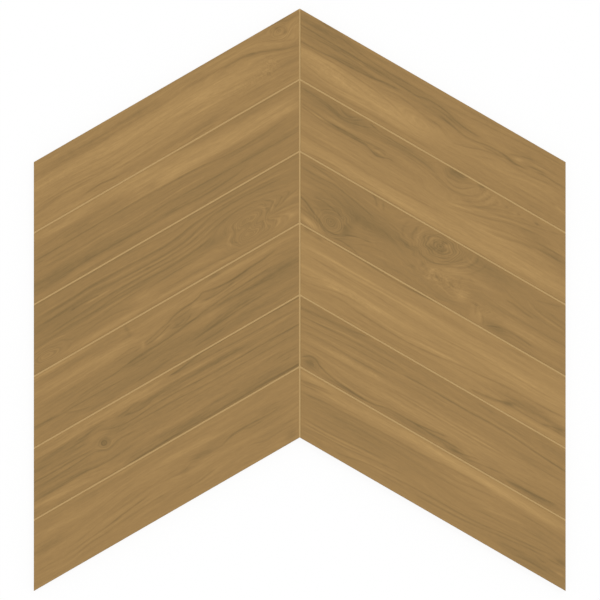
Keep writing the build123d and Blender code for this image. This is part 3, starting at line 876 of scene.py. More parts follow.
# Dark, with a knot at the centre joint, another in the middle and pale curls beside it
RIGHT_3 = Figure(
    tone=127.3,
    liveliness=0.85,
    patches=(
        Patch(-7, (30, 47), (11, 10)), Patch(-9, (23, 73), (1.6, 14)), Patch(-6, (13.5, 61), (3, 7)),
        Patch(17, (12.6, 93), (3.4, 4.6), tilt=0.9), Patch(-4, (41.5, 44), (3.4, 3)),
        Patch(-5, (43.2, 40), (0.9, 2.4)), Patch(-4, (20, 38), (16, 20)),
        Patch(6, (57, 42), (3, 5), tilt=-1.4), Patch(3, (50.8, 60), (1, 4)),
        Patch(6, (51.2, 73), (0.9, 2.6)), Patch(11, (53, 70), (0.8, 3)), Patch(11, (61.8, 72), (1.9, 9)),
        Patch(-6, (53, 64), (0.9, 2.6)), Patch(-4, (55, 66), (1.6, 3.5)),
        Patch(-7, (47.5, 58.5), (0.7, 3.6)), Patch(-6, (45, 70), (1, 3)), Patch(-5, (57.8, 57), (1.6, 4)),
        Patch(5, (56, 58), (5, 14)), Patch(-7, (62, 42), (0.7, 1.4)), Patch(-6, (66.5, 73), (1.3, 2)),
        Patch(6, (66, 40), (6, 5)), Patch(8, (84, 72), (13, 8)), Patch(-9, (75.5, 90), (3.6, 6)),
        Patch(7, (69, 88), (2.6, 10)), Patch(4, (90, 92), (8, 6)), Patch(4, (6, 90), (6, 8)),
        Patch(5, (4, 42), (6, 10)), Patch(-7, (49.4, 27), (2.2, 5)), Patch(-9, (49.8, 9), (1.3, 2.4)),
        Patch(-7, (49, 17), (0.8, 2.4)), Patch(-9, (46.8, 28.5), (0.9, 3)),
        Patch(8, (50.6, 13), (0.8, 3)), Patch(-5, (66, 14), (7, 12)), Patch(4, (75, 52), (8, 5)),
    ),
    streaks=(
        Streak(-7, ((1, 5), (6, 6), (11, 4), (15, 8), (20, 12), (26, 16))),
        Streak(-11, ((2, 8.5), (6, 9), (10, 10.5), (14, 14), (18, 18), (24, 21)), fade=4),
        Streak(-12, ((1, 19), (8, 20), (13, 18), (17, 21), (21, 25), (26, 30),
            (30, 35)), 1.1, 1.2, fade=4),
        Streak(7, ((6, 2), (11, 3.5), (17, 9), (22, 13), (27, 16), (31, 20)), fade=4),
        Streak(7, ((4, 15.5), (9, 14), (13, 13.5), (17, 17), (22, 22), (27, 28)), fade=4),
        Streak(-6, ((0, 27), (8, 27), (14, 26), (19, 31), (25, 40))),
        Streak(-5, ((0, 35), (8, 35), (14, 36), (19, 42), (23, 50))),
        Streak(-6, ((28, 24), (33, 28), (38, 34)), fade=3),
        Streak(-5, ((28, 40), (33, 44), (38, 52), (42, 60))),
        Streak(-13, ((9, 51.5), (13, 51), (17, 54.5), (19.2, 57.5), (20.6, 63)), 1.2, fade=2),
        Streak(-17, ((5, 61), (8, 65), (10.5, 71), (13, 77), (15, 82), (17, 87.5), (20, 89.5),
            (22.5, 85)), 1.3, 1.5, fade=2),
        Streak(-8, ((8, 70), (10, 75), (13, 81), (16, 87)), 1.4, 1.6, fade=2),
        Streak(-11, ((6, 77), (9, 79), (13, 82.5), (16, 88), (18, 93), (20, 98)), 1.3, fade=3),
        Streak(-7, ((8.2, 85), (11, 85.2), (14, 88), (15.6, 92), (16.8, 98)), fade=2),
        Streak(6, ((12, 63), (14, 70), (15.3, 77)), fade=2),
        Streak(-13, ((20, 95.5), (23, 93), (26, 94), (30, 98)), 1.2, fade=2),
        Streak(-16, ((22, 91), (23, 83), (25, 77.5), (28, 73), (32, 70)), 1.2, fade=2),
        Streak(8, ((23.6, 88), (25, 81), (27, 75), (30, 70), (34, 60)), 1.2, fade=3),
        Streak(-7, ((26, 92), (28, 84), (31, 78), (36, 74)), 1.2, fade=3),
        Streak(6, ((30, 92), (33, 86), (38, 82), (43, 84)), 1.3),
        Streak(-6, ((36, 96), (40, 91), (46, 90), (54, 94)), 1.2),
        Streak(-6, ((36, 39), (39, 42.5), (41, 44), (43, 41.5)), 1.2, fade=2),
        Streak(-12, ((43.6, 42), (46, 46.5), (48.5, 48.5), (51, 46), (53.5, 39.5),
            (55.5, 32)), 1.1, 1.2, fade=2),
        Streak(-5, ((50, 84), (54, 88), (60, 88), (64, 82)), fade=3),
        Streak(10, ((53.2, 75), (55.5, 76.5), (57.5, 79.5), (60.8, 82)), fade=1.2, steers=False),
        Streak(-9, ((55.8, 60.5), (57.8, 64.5), (59.8, 66)), fade=1, steers=False),
        Streak(9, ((55.2, 63.5), (57.4, 68), (59.8, 68), (61.6, 64), (64, 62)), fade=1.2, steers=False),
        Streak(8, ((45.6, 66), (46.6, 69), (47.6, 71.5)), fade=0.8, steers=False),
        Streak(7, ((48.4, 73.5), (50, 75), (51.6, 75)), fade=0.8, steers=False),
        Streak(-13, ((73, 41), (77, 41.5), (80, 44), (84, 45.5)), 1.3, 1.5, fade=2),
        Streak(-8, ((80.7, 20), (82, 16), (84, 13), (87, 8.5), (90, 3)), fade=2),
        Streak(-9, ((80.5, 20), (81.5, 26), (84, 30.5), (88, 33), (95, 36)), fade=2),
        Streak(8, ((79, 22), (80.5, 29), (83, 33), (87, 36), (94, 39)), 1.2, fade=2),
        Streak(-6, ((71, 22), (73, 29), (76, 33.5), (80, 38), (87, 41.5), (96, 44)), fade=3),
        Streak(-5, ((86, 21), (89, 17), (94, 13), (98, 12)), fade=2),
        Streak(-4, ((86, 22), (89, 26), (97, 29)), fade=2),
        Streak(6, ((78, 79), (84, 78), (92, 79)), 1.1, 1.2),
        Streak(-6, ((66, 50), (76, 57), (88, 59), (98, 58)), 1.2),
        Streak(-5, ((68, 62), (76, 66), (88, 67), (98, 66)), 1.2),
        Streak(-10, ((71.7, 98), (73.5, 91.5), (75.5, 86.5), (79, 83.5), (83, 84),
            (88, 87)), 1.2, 1.5, fade=2),
        Streak(-6, ((77, 96), (79, 91), (84, 90.5), (92, 93))),
    ),
    knots=(
        Knot(-5, (((49.3, 19), (8.2, 27)),), crowding=1.3, halo=1.2),
        Knot(-9, (((17.8, 73), (4, 17)),), crowding=1.6, halo=1.5),
    ),
    slashes=(
        Slash(-13, 0.35, ((24.6, 0), (25.6, 4), (26.4, 8), (27.4, 15)), fade=3),
        Slash(-9, 0.3, ((28.2, 2), (29, 9), (29.8, 16)), fade=3),
        Slash(6, 0.3, ((27.1, 2), (27.9, 8), (28.7, 15)), fade=3),
        Slash(-9, 0.35, ((41.4, 6), (40.6, 13), (40.3, 20), (40.7, 28), (42, 36))),
        Slash(-8, 0.35, ((44.2, 8), (43.6, 14), (43.5, 21), (44.2, 29))),
        Slash(7, 0.35, ((42.8, 6), (42.1, 13), (41.9, 21), (42.4, 29), (43.6, 36))),
        Slash(-6, 0.4, ((38, 6), (37.2, 14), (37, 22), (37.6, 30), (39, 37))),
        Slash(7, 0.35, ((53.8, 4), (54.5, 10), (54.4, 17), (53.4, 25), (51, 32), (48.4, 38))),
        Slash(-8, 0.35, ((56, 1), (57, 8), (56.8, 18), (55.8, 26), (53.6, 34), (50.4, 41))),
        Slash(-9, 0.35, ((60, 0), (60.8, 9), (60, 19), (58.4, 30), (55.6, 38), (51.6, 46))),
        Slash(7, 0.35, ((58.8, 2), (59.4, 11), (58.6, 21), (57, 30), (54.2, 39))),
        Slash(-6, 0.4, ((63.6, 6), (63.2, 16), (62, 26), (60.4, 36), (57.6, 44))),
        Slash(9, 0.4, ((51.6, 53), (50.7, 58), (50.5, 64), (50.6, 70), (51, 75)), fade=3),
        Slash(-6, 0.35, ((59.2, 44), (59.3, 52), (59.6, 60)), fade=3),
        Slash(-9, 0.35, ((69.6, 79), (70.4, 85), (71.2, 91), (71.4, 98))),
        Slash(7, 0.35, ((68.4, 77), (69.2, 84), (70, 91), (70.2, 98))),
        Slash(-7, 0.35, ((66.2, 68), (67.2, 76), (67.8, 84), (68, 92))),
        Slash(-8, 0.35, ((48.6, 9), (49.6, 14), (50.6, 20), (50, 26)), fade=3),
        Slash(-8, 0.3, ((47.4, 13), (47.9, 18), (48.6, 23), (47.4, 30)), fade=3),
        Slash(8, 0.3, ((50.8, 8), (51.6, 13), (52, 19), (51, 25)), fade=3),
    ),
    curls=(Patch(9, (55, 66), (8, 12)), Patch(9, (48, 19), (4, 13)), Patch(6, (70, 74), (4, 8))),
    sway=0.8,
)

# The palest plank: straight grain between dark lines along its sides
RIGHT_4 = Figure(
    tone=136.5,
    liveliness=0.95,
    patches=(
        Patch(-3, (40, 14), (34, 6)), Patch(4, (24, 27), (26, 6)), Patch(7, (20, 57), (20, 7)),
        Patch(3, (18, 62), (2.6, 4)), Patch(4, (31.5, 59), (3, 3.4)), Patch(7, (76, 38), (20, 11)),
        Patch(-4, (36, 89), (34, 8)), Patch(-12, (87, 76), (12, 7)),
        Patch(-18, (79.3, 84), (1.8, 4), tilt=-1.2), Patch(-9, (96, 81), (2, 5)),
        Patch(4, (90, 93), (9, 3)), Patch(-11, (2.8, 2), (1.6, 2.4)), Patch(-9, (6.7, 4), (1.4, 2.4)),
        Patch(-5, (75, 5), (8, 4)), Patch(4, (56, 70), (14, 5)), Patch(4, (44, 28), (14, 5)),
    ),
    streaks=(
        Streak(-22, ((-3, 0), (10, -0.4), (18, 0.2), (24, 1.4), (30, 2.4), (35, 2.5), (40, 1.2),
            (47, -1.5)), 1.8, 1.6, fade=3),
        Streak(-5, ((12, 7), (22, 8), (32, 9), (42, 7)), 1.2),
        Streak(6, ((0, 29), (10, 26), (20, 25), (36, 24.5), (52, 24)), 1.2),
        Streak(-8, ((2, 31), (12, 29), (22, 28.5), (32, 27.5), (46, 28))),
        Streak(6, ((25, 31.5), (30, 30.5), (39, 31.5))),
        Streak(-8, ((20, 35), (28, 34), (36, 32.5), (46, 34.5))),
        Streak(-7, ((4, 38), (12, 38), (25, 39), (40, 42.5), (52, 44))),
        Streak(5, ((6, 44), (20, 44), (34, 47), (46, 50)), 1.2),
        Streak(-5, ((6, 51), (20, 51), (34, 54), (44, 57))),
        Streak(-9, ((3, 79), (10, 78), (14, 74.5), (18, 68.5), (22, 65.5), (29, 66)), 1.2, fade=4),
        Streak(-7, ((3, 70), (9, 68), (14, 62), (20, 60)), 1.2),
        Streak(5, ((8, 73), (13, 70), (17, 65), (23, 62)), 1.2),
        Streak(-13, ((14, 78), (18, 76), (22, 75), (28, 78), (34, 79.5), (40, 80.5), (46, 80), (52, 77),
            (60, 71), (68, 67), (76, 62.5), (86, 61), (98, 58)), 1.3, 1.5),
        Streak(7, ((22, 70), (30, 72), (38, 74), (43, 75), (48, 71.5), (56, 69), (64, 67)), 1.2),
        Streak(-10, ((36, 72.5), (42, 71.5), (47, 68.5), (53, 67), (60, 63)), 1.2, 1.3),
        Streak(-7, ((40, 62.5), (46, 60.5), (54, 59), (62, 56)), 1.1, 1.2),
        Streak(-5, ((26, 88), (40, 88), (54, 86), (66, 82))),
        Streak(-17, ((66, 95.5), (70, 93.5), (73, 91.5), (76, 88.5), (78, 85),
            (80.5, 82.5)), 1.4, 2.6, fade=3),
        Streak(-12, ((79, 86), (84, 86.5), (89, 86), (94, 85), (101, 86)), 1.2, 1.5, fade=3),
        Streak(-14, ((90, 87), (92.5, 83), (95, 80), (98, 77)), 1.4, 1.6, fade=2),
        Streak(-8, ((80, 81), (84, 79), (89, 77)), 1.2, fade=3),
        Streak(-6, ((74, 74), (82, 70), (92, 69)), 1.2),
        Streak(-7, ((66, 4), (74, 4), (82, 3)), 1.2),
        Streak(-6, ((78, 8.5), (85, 7), (92, 6)), 1.2),
        Streak(5, ((68, 8), (80, 12), (92, 12)), 1.2),
        Streak(-6, ((50, 33), (58, 31), (70, 27), (84, 24)), 1.2),
        Streak(6, ((66, 50), (76, 49), (86, 49), (97, 46)), 1.2, 1.3),
        Streak(-10, ((46, 48), (54, 46), (60, 44), (68, 42), (76, 41), (86, 42), (94, 39)), 1.1, 1.2),
        Streak(-5, ((62, 54), (74, 54), (88, 54))),
        Streak(-5, ((50, 54), (56, 51), (62, 50))),
        Streak(-4, ((20, 19), (40, 17), (60, 17), (84, 15)), 1.2),
        Streak(-4, ((14, 93), (34, 95), (54, 93)), 1.2),
    ),
    curls=(Patch(5, (24, 60), (12, 5)),),
)

# Finely lined, with a knot cut off by the centre joint and dark streaks that run from it
RIGHT_5 = Figure(
    tone=130,
    patches=(
        Patch(-4, (20, 14), (28, 14)), Patch(4, (24, 18), (16, 4)), Patch(7, (20, 53.5), (16, 4)),
        Patch(5, (21, 51), (1.4, 3)), Patch(5, (30.5, 52), (3.4, 2.4)), Patch(5, (60, 68), (34, 10)),
        Patch(-11, (12.4, 88), (2.4, 9)), Patch(-5, (12.2, 86), (1.3, 4)),
        Patch(-10, (27, 95.5), (9, 2.6)), Patch(-10, (48, 93), (11, 4)), Patch(-11, (62, 94), (3.6, 3.2)),
        Patch(4, (68, 88), (4, 4)), Patch(-9, (88, 93), (9, 4.6)), Patch(-3, (84, 44), (9, 5)),
        Patch(3, (60, 56), (26, 6)), Patch(3, (36, 74), (20, 8)), Patch(-3, (84, 12), (14, 8)),
    ),
    streaks=(
        Streak(-13, ((-1, 17), (6, 14.5), (12, 11), (18, 7), (25, 1)), 2, fade=4),
        Streak(7, ((1, 26), (8, 23.5), (12, 20.5), (17, 17), (22, 16), (30, 14.5), (46, 13)), 1.2),
        Streak(-9, ((0, 28), (8, 25.5), (14, 23), (20, 21), (28, 20), (38, 19))),
        Streak(6, ((2, 31), (8, 30), (15, 27), (22, 24.5), (32, 23))),
        Streak(-13, ((1, 38), (8, 35.5), (12, 34), (16, 32), (21, 30), (27, 30), (33, 28.5),
            (38, 27.5)), 1.1, 1.2),
        Streak(-19, ((36, 28), (41, 26.5), (50, 26), (58, 26), (65, 24.8), (70, 24.5), (75, 26),
            (81, 28.5), (88, 30.5), (95, 32.5)), 1.1, 1.4, fade=4),
        Streak(7, ((40, 22.5), (52, 22), (64, 21), (74, 22), (86, 26))),
        Streak(-5, ((48, 17.5), (60, 17), (72, 18), (84, 21))),
        Streak(-5, ((36, 34), (50, 32), (66, 31), (80, 34))),
        Streak(-11, ((2, 49.5), (8, 46), (14, 44.5), (20, 45), (27, 45), (36, 43.5)), 1.1, 1.2),
        Streak(7, ((4, 43), (10, 40.5), (16, 39), (26, 38.5), (36, 37.5))),
        Streak(-5, ((36, 40), (50, 39.5), (64, 38.5), (76, 40))),
        Streak(-4, ((40, 47), (56, 47.5), (70, 48))),
        Streak(6, ((36, 53), (48, 53), (60, 53.5), (74, 53.5)), 1, 1.2),
        Streak(-8, ((33, 56), (46, 56), (60, 57), (74, 57.5), (90, 60))),
        Streak(6, ((38, 58.4), (50, 58.2), (62, 59.2), (74, 59.6))),
        Streak(-8, ((31, 60.5), (46, 60.5), (58, 62), (68, 62), (80, 60.5))),
        Streak(-4, ((30, 67), (46, 67), (64, 67.5), (84, 68))),
        Streak(-4, ((22, 76), (40, 75), (60, 75), (80, 76))),
        Streak(-7, ((2, 64), (10, 63), (20, 61), (30, 61))),
        Streak(5, ((2, 73), (10, 70), (18, 71), (28, 72))),
        Streak(-6, ((2, 82), (7, 76), (12, 72.5), (17, 75), (24, 81), (34, 84))),
        Streak(-17, ((8.2, 93), (9.2, 86), (10.4, 80), (12, 77.5), (13.6, 79), (15, 83.5),
            (17, 87)), 1.3, 1.5, fade=2),
        Streak(9, ((12.9, 84), (13.9, 90), (14.2, 98)), fade=2, steers=False),
        Streak(-12, ((14.7, 86), (15.4, 92), (15.8, 99)), fade=2, steers=False),
        Streak(5, ((6.8, 94), (8, 84), (10, 77), (12.4, 74)), fade=2),
        Streak(-18, ((14, 82), (16, 85.5), (19, 89.5), (22, 92), (26, 93.5), (31, 95), (35, 93.5),
            (38, 89), (41, 88), (45, 88), (50, 86), (54, 82.8), (59, 79)), 1.2, 1.4, fade=3),
        Streak(6, ((18, 85.5), (22, 88.5), (28, 90.5), (33, 90), (37, 85), (43, 84.5), (50, 82))),
        Streak(-16, ((46, 88.5), (50, 88.5), (54, 89), (58, 88), (65, 88)), 1.2, 1.4, fade=3),
        Streak(-14, ((60, 94.5), (64, 92), (68, 88), (71, 86)), 1.2, 1.4, fade=3),
        Streak(-14, ((64, 97.5), (69, 93), (73, 90), (78, 86)), 1.2, 1.6, fade=3),
        Streak(-15, ((78, 94), (83, 92.5), (87, 91), (91, 89.5), (97, 87)), 1.5, 2, fade=4),
        Streak(-6, ((60, 8), (64, 7.5), (68, 9.5)), fade=3),
        Streak(-6, ((70, 14), (74, 14.5), (78, 17.5)), fade=3),
        Streak(-7, ((80, 10), (85, 10), (91, 13.5)), fade=3),
        Streak(-5, ((88, 8), (94, 7), (99, 7))),
        Streak(-8, ((76, 47), (82, 48.5), (90, 49), (97, 48.5))),
        Streak(-5, ((80, 42), (88, 42), (96, 42))),
        Streak(-4, ((84, 72), (92, 71), (98, 72))),
        Streak(-5, ((74, 82), (82, 82), (92, 80)), 1.2),
    ),
    curls=(Patch(5, (20, 52), (14, 4)),),
)

# A long pale band that slants across between dark streaks
RIGHT_6 = Figure(
    tone=130.2,
    liveliness=0.85,
    patches=(
        Patch(8, (5.5, 6), (6, 4)), Patch(14, (52, 9), (34, 8)), Patch(5, (22, 13), (12, 6)),
        Patch(7, (76, 14), (18, 6)), Patch(5, (13, 17), (5, 2)), Patch(-5, (26, 46), (24, 12)),
        Patch(3, (60, 33), (12, 8)), Patch(-7, (88, 84), (13, 11)), Patch(-10, (94.6, 63), (1.9, 4.6)),
        Patch(8, (96, 81), (1.6, 2.4)), Patch(3, (36, 79), (12, 5)), Patch(-3, (86, 36), (10, 8)),
        Patch(3, (70, 44), (8, 6)), Patch(-3, (14, 92), (14, 6)),
    ),
    streaks=(
        Streak(-12, ((0, 17.5), (4, 15), (8, 11), (12, 8.5)), 1.2, fade=4),
        Streak(-13, ((0, 20), (5, 17), (9, 14), (13, 11.5)), 1.1, 1.2, fade=4),
        Streak(-9, ((1, 24), (5, 21), (10, 19.5)), 1.1, 1.2, fade=4),
        Streak(-7, ((10, 10), (14, 7.5), (20, 6.2), (28, 5.2), (38, 6))),
        Streak(6, ((1, 28.5), (7, 25), (12, 21.5), (20, 19.5))),
        Streak(-9, ((11, 24.5), (15, 23), (20, 21), (27, 20))),
        Streak(-5, ((18, 16), (28, 13), (40, 13))),
        Streak(-11, ((1, 34.5), (8, 31), (12, 29), (18, 28), (24, 26), (32, 24.6), (42, 24), (47, 22),
            (53, 19), (60, 18), (70, 17.5)), 1.1, 2.2),
        Streak(-7, ((4, 40), (12, 36), (20, 33), (30, 31), (40, 29.5), (50, 30))),
        Streak(-5, ((6, 47), (14, 43), (24, 40), (36, 39))),
        Streak(-6, ((8, 54), (16, 53), (26, 49), (38, 48))),
        Streak(-5, ((8, 61), (18, 60), (28, 56), (40, 56))),
        Streak(6, ((48, 27), (56, 27), (63, 24.5), (72, 23)), 1.1, 1.2),
        Streak(-9, ((46, 33.5), (53, 33), (58, 32), (63, 27.5), (70, 24)), 1.1, 1.2),
        Streak(5, ((48, 37), (56, 36.5), (63, 33))),
        Streak(-8, ((48, 42), (56, 42), (62, 41), (68, 37)), 1.2),
        Streak(-12, ((6, 68), (11, 69.5), (16, 69.5), (21, 67.5), (27, 64.5),
            (36, 61)), 1.2, 1.3, fade=4),
        Streak(6, ((8, 72), (14, 73), (20, 71.2), (27, 68.5), (36, 65.5)), fade=4),
        Streak(-7, ((8, 75.5), (16, 75.5), (24, 72.5), (30, 69)), fade=4),
        Streak(8, ((7, 79), (13, 77.5), (19, 76.5), (25, 74.5), (31, 71.5)), fade=4),
        Streak(-10, ((9, 82), (15, 79.5), (23, 77.5), (28, 74), (35, 70), (44, 66.5))),
        Streak(5, ((24, 84), (31, 80.5), (37, 77.5), (46, 74.5)), 1.1, 1.2),
        Streak(-13, ((20, 92.5), (24, 89.5), (28, 84.5), (32, 81.5), (38, 80), (46, 78), (54, 76.5),
            (62, 76.5), (69, 74), (76, 69), (84, 64.5), (94, 59)), 1.2, 1.4),
        Streak(-7, ((30, 88), (38, 86), (46, 84.5))),
        Streak(-11, ((46, 86), (54, 85.5), (62, 83.5), (68, 81), (76, 75), (84, 70), (92, 67)), 1.2, 1.3),
        Streak(5, ((48, 81.5), (58, 81), (66, 78.5), (74, 74))),
        Streak(-5, ((56, 93), (66, 90), (74, 87))),
        Streak(-10, ((62, 60), (67, 56.5), (74, 55), (81, 53), (89, 52), (97, 56)), 1.1, 1.2),
        Streak(7, ((62, 54), (67, 49.5), (72, 45), (77, 41), (84, 38)), 1.2),
        Streak(-6, ((68, 62), (76, 59.5), (86, 58))),
        Streak(-6, ((78, 48), (86, 45), (94, 45))),
        Streak(-6, ((74, 27), (84, 27), (94, 30))),
        Streak(-14, ((90, 68), (92.5, 68.5), (95, 68)), 1.1, 1.3, fade=1.5),
        Streak(-12, ((87.5, 75.5), (89.5, 76.5), (91.5, 76)), 1.1, 1.3, fade=1.5),
        Streak(7, ((91, 72), (94, 73), (96, 72)), fade=2),
        Streak(-9, ((74, 85), (80, 83), (86, 80)), 1.2, 1.3, fade=4),
        Streak(-7, ((80, 92), (86, 88), (93, 88)), 1.2, fade=4),
        Streak(-5, ((4, 86), (12, 86), (20, 83))),
    ),
)

FIGURES = {
    "left_1": LEFT_1,
    "left_2": LEFT_2,
    "left_3": LEFT_3,
    "left_4": LEFT_4,
    "left_5": LEFT_5,
    "left_6": LEFT_6,
    "right_1": RIGHT_1,
    "right_2": RIGHT_2,
    "right_3": RIGHT_3,
    "right_4": RIGHT_4,
    "right_5": RIGHT_5,
    "right_6": RIGHT_6,
}


# Finishes


def linear(red: float, green: float, blue: float) -> tuple[float, float, float, float]:
    """A colour given as levels of 255 on screen, in the linear light that shaders use."""
    levels = (red / 255, green / 255, blue / 255)
    light = (x / 12.92 if x <= 0.04045 else ((x + 0.055) / 1.055) ** 2.4 for x in levels)
    return (*light, 1.0)


class Graph:
    """A short way to write the nodes of a material or a world."""

    def __init__(self, owner: str | bpy.types.World) -> None:
        """Starts with no nodes.

        Args:
            owner: the name of a new material, or the world that the nodes are for.
        """
        self.owner = bpy.data.materials.new(owner) if isinstance(owner, str) else owner
        self.owner.use_nodes = True
        self.tree = self.owner.node_tree
        self.tree.nodes.clear()

    def add(self, kind: str, inputs: dict | None = None, **settings: object) -> bpy.types.Node:
        """Adds a node.

        Args:
            kind: the node's type without its prefix, such as "TexNoise".
            inputs: what each input is set to, or the socket that feeds it.
            settings: the node's own properties.

        Returns:
            The node.
        """
        node = self.tree.nodes.new("ShaderNode" + kind)
        for key, value in settings.items():
            setattr(node, key, value)
        for key, value in (inputs or {}).items():
            if isinstance(value, bpy.types.NodeSocket):
                self.tree.links.new(value, node.inputs[key])
            else:
                node.inputs[key].default_value = value
        return node

    def math(self, operation: str, *values: object, clamp: bool = False) -> bpy.types.NodeSocket:
        """A Math node's result.

        Args:
            operation: what it does, such as "ADD".
            values: its inputs in order, each a number or a socket.
            clamp: whether the result is held between 0 and 1.

        Returns:
            The socket of the result.
        """
        node = self.add("Math", dict(enumerate(values)), operation=operation, use_clamp=clamp)
        return node.outputs[0]

    def total(self, *values: bpy.types.NodeSocket) -> bpy.types.NodeSocket:
        """The sum of several sockets."""
        result = values[0]
        for value in values[1:]:
            result = self.math("ADD", result, value)
        return result

    def texture(
        self, place: bpy.types.NodeSocket, scale: float, detail: float = 2.0, bend: float = 0.0
    ) -> bpy.types.NodeSocket:
        """A noise between 0 and 1, most of it between 1/4 and 3/4.

        Args:
            place: the coordinates, in metres.
            scale: how many times a metre it repeats.
            detail: how many finer noises it adds.
            bend: how far it distorts itself.

        Returns:
            The socket of the noise.
        """
        inputs = {"Vector": place, "Scale": scale, "Detail": detail, "Distortion": bend}
        return self.add("TexNoise", inputs).outputs["Fac"]

    def rise(self, value: bpy.types.NodeSocket, limits: Point, top: float = 1.0) -> bpy.types.NodeSocket:
        """A number that climbs from 0 to its top while a value passes between two limits."""
        return self.add("MapRange", {"Value": value, 1: limits[0], 2: limits[1], 4: top}).outputs[0]

    def swing(self, vector: bpy.types.NodeSocket, scale: Point, amount: float) -> bpy.types.NodeSocket:
        """A noise that swings evenly about 0.

        Args:
            vector: the coordinates, in metres.
            scale: how many times a metre the noise repeats, along and across the grain.
            amount: how far it swings each way, about.

        Returns:
            The socket of the noise.
        """
        placed = self.add("Mapping", {"Vector": vector, "Scale": (scale[0], scale[1], scale[0])})
        texture = self.texture(placed.outputs[0], 1.0)
        return self.math("MULTIPLY_ADD", texture, 4 * amount, -2 * amount)

    def blend(self, share: bpy.types.NodeSocket, first: object, second: object) -> bpy.types.NodeSocket:
        """A mix of two colours.

        Args:
            share: how much of the second there is.
            first: a colour in levels of 255, or the socket that feeds it.
            second: the same.

        Returns:
            The socket of the mixed colour.
        """
        sides = (linear(*side) if isinstance(side, tuple) else side for side in (first, second))
        mix = self.add("Mix", dict(zip((0, 6, 7), (share, *sides))), data_type="RGBA")
        return mix.outputs[2]

    def attribute(self, which: Attribute) -> bpy.types.NodeSocket:
        """The number that the mesh holds under an attribute's name."""
        return self.add("Attribute", attribute_name=which.value).outputs["Fac"]

    def looked_at(self) -> bpy.types.NodeSocket:
        """1 where the camera sees the surface, also in a mirror or through glass, otherwise 0."""
        rays = self.add("LightPath").outputs
        direct = self.math("MAXIMUM", rays["Is Camera Ray"], rays["Is Glossy Ray"])
        return self.math("MAXIMUM", direct, rays["Is Transmission Ray"])

    def surface(
        self, colour: bpy.types.NodeSocket, roughness: object, gloss: float, bump: dict[str, object]
    ) -> bpy.types.Material:
        """Ends the graph in an opaque surface.

        Args:
            colour: its colour.
            roughness: a number, or the socket that feeds it.
            gloss: how much it mirrors, as the shader's specular level.
            bump: the inputs of the Bump node that roughens it.

        Returns:
            The finished material.
        """
        inputs = {
            "Base Color": colour,
            "Roughness": roughness,
            "Specular IOR Level": gloss,
            "Normal": self.add("Bump", bump).outputs["Normal"],
        }
        return self.end(self.add("BsdfPrincipled", inputs))

    def end(self, shader: bpy.types.Node) -> bpy.types.Material:
        """Joins the last shader to the output and gives the finished material."""
        self.add("OutputMaterial", {"Surface": shader.outputs[0]})
        return self.owner


@dataclass(frozen=True)
class PrintedGlaze:
    """The printed matte glaze of the planks' faces: the wood colours, laid along the grain."""

    darkest_level: float = 105.0
    palest_level: float = 155.0
    palette: tuple[tuple[float, tuple[float, float, float]], ...] = (
        (105.0, (125, 102, 67)),
        (113.6, (136, 111, 73)),
        (129.6, (157, 126, 82)),
        (141.8, (171, 138, 90)),
        (148.6, (179, 145, 95)),
        (155.0, (187, 152, 100)),
    )
    broad: float = 4.0  # levels that each kind of grain swings the print
    fine: float = 4.2
    pores: float = 3.2
    broad_scale: Point = (12, 260)  # how many times a metre each repeats, along and across the grain
    fine_scale: Point = (45, 620)
    pore_scale: Point = (200, 1500)
    rings: float = 4.5
    ring_spacing: float = 1.75 * MILLIMETRE
    ring_wander: float = 1.6  # how far out of step the rings run, in radians
    wander_scale: Point = (25, 150)
    curls: float = 2.0  # how far curly figure swings the print, for each unit that there is
    curl_scale: float = 280.0
    curl_bend: float = 1.8
    roughness: float = 0.6
    uneven: float = 0.012  # how much rougher it is for each level of the fine grain
    gloss: float = 0.3
    grit_scale: float = 2600.0
    grit_depth: float = 0.02 * MILLIMETRE
    grit_strength: float = 0.5
    haze: float = 0.0238  # what the glaze mirrors of the pale room, taken off its own colours

    def build(self) -> bpy.types.Material:
        """Makes the material.

        Returns:
            The material for a plank's printed face.
        """
        graph = Graph("printed_glaze")
        grain = graph.add("UVMap", uv_map=Attribute.GRAIN.value).outputs[0]
        place = graph.add("TexCoord").outputs["Object"]

        broad = graph.swing(grain, self.broad_scale, self.broad)
        fine = graph.swing(grain, self.fine_scale, self.fine)
        pores = graph.swing(grain, self.pore_scale, self.pores)
        lines = graph.math("MULTIPLY", graph.total(broad, fine, pores), graph.attribute(Attribute.CONTRAST))
        levels = graph.total(graph.attribute(Attribute.SHADE), lines)

        ring = graph.add("SeparateXYZ", {"Vector": grain}).outputs["Y"]
        wander = graph.swing(grain, self.wander_scale, self.ring_wander)
        turns = graph.math("MULTIPLY_ADD", ring, 2 * math.pi / self.ring_spacing, wander)
        wave = graph.math("SINE", turns)
        contrast = graph.math("MULTIPLY", graph.attribute(Attribute.RINGS), self.rings)
        levels = graph.math("MULTIPLY_ADD", wave, contrast, levels)

        squiggle = graph.texture(place, self.curl_scale, bend=self.curl_bend)
        bright = graph.math("MULTIPLY_ADD", squiggle, 2 * self.curls, -self.curls)
        levels = graph.math("MULTIPLY_ADD", bright, graph.attribute(Attribute.CURL), levels)

        span = self.palest_level - self.darkest_level
        factor = graph.math("DIVIDE", graph.math("SUBTRACT", levels, self.darkest_level), span)
        ramp = graph.add("ValToRGB", {"Fac": factor})
        stops = ramp.color_ramp.elements
        while len(stops) < len(self.palette):
            stops.new(1.0)
        for stop, (level, colour) in zip(stops, self.palette):
            stop.position = (level - self.darkest_level) / span
            stop.color = (*(max(light - self.haze, 0) for light in linear(*colour)[:3]), 1)

        sheen = graph.math("MULTIPLY_ADD", fine, self.uneven, self.roughness)
        grit = graph.texture(place, self.grit_scale)
        bump = {"Height": grit, "Distance": self.grit_depth, "Strength": self.grit_strength}
        return graph.surface(ramp.outputs["Color"], sheen, self.gloss, bump)


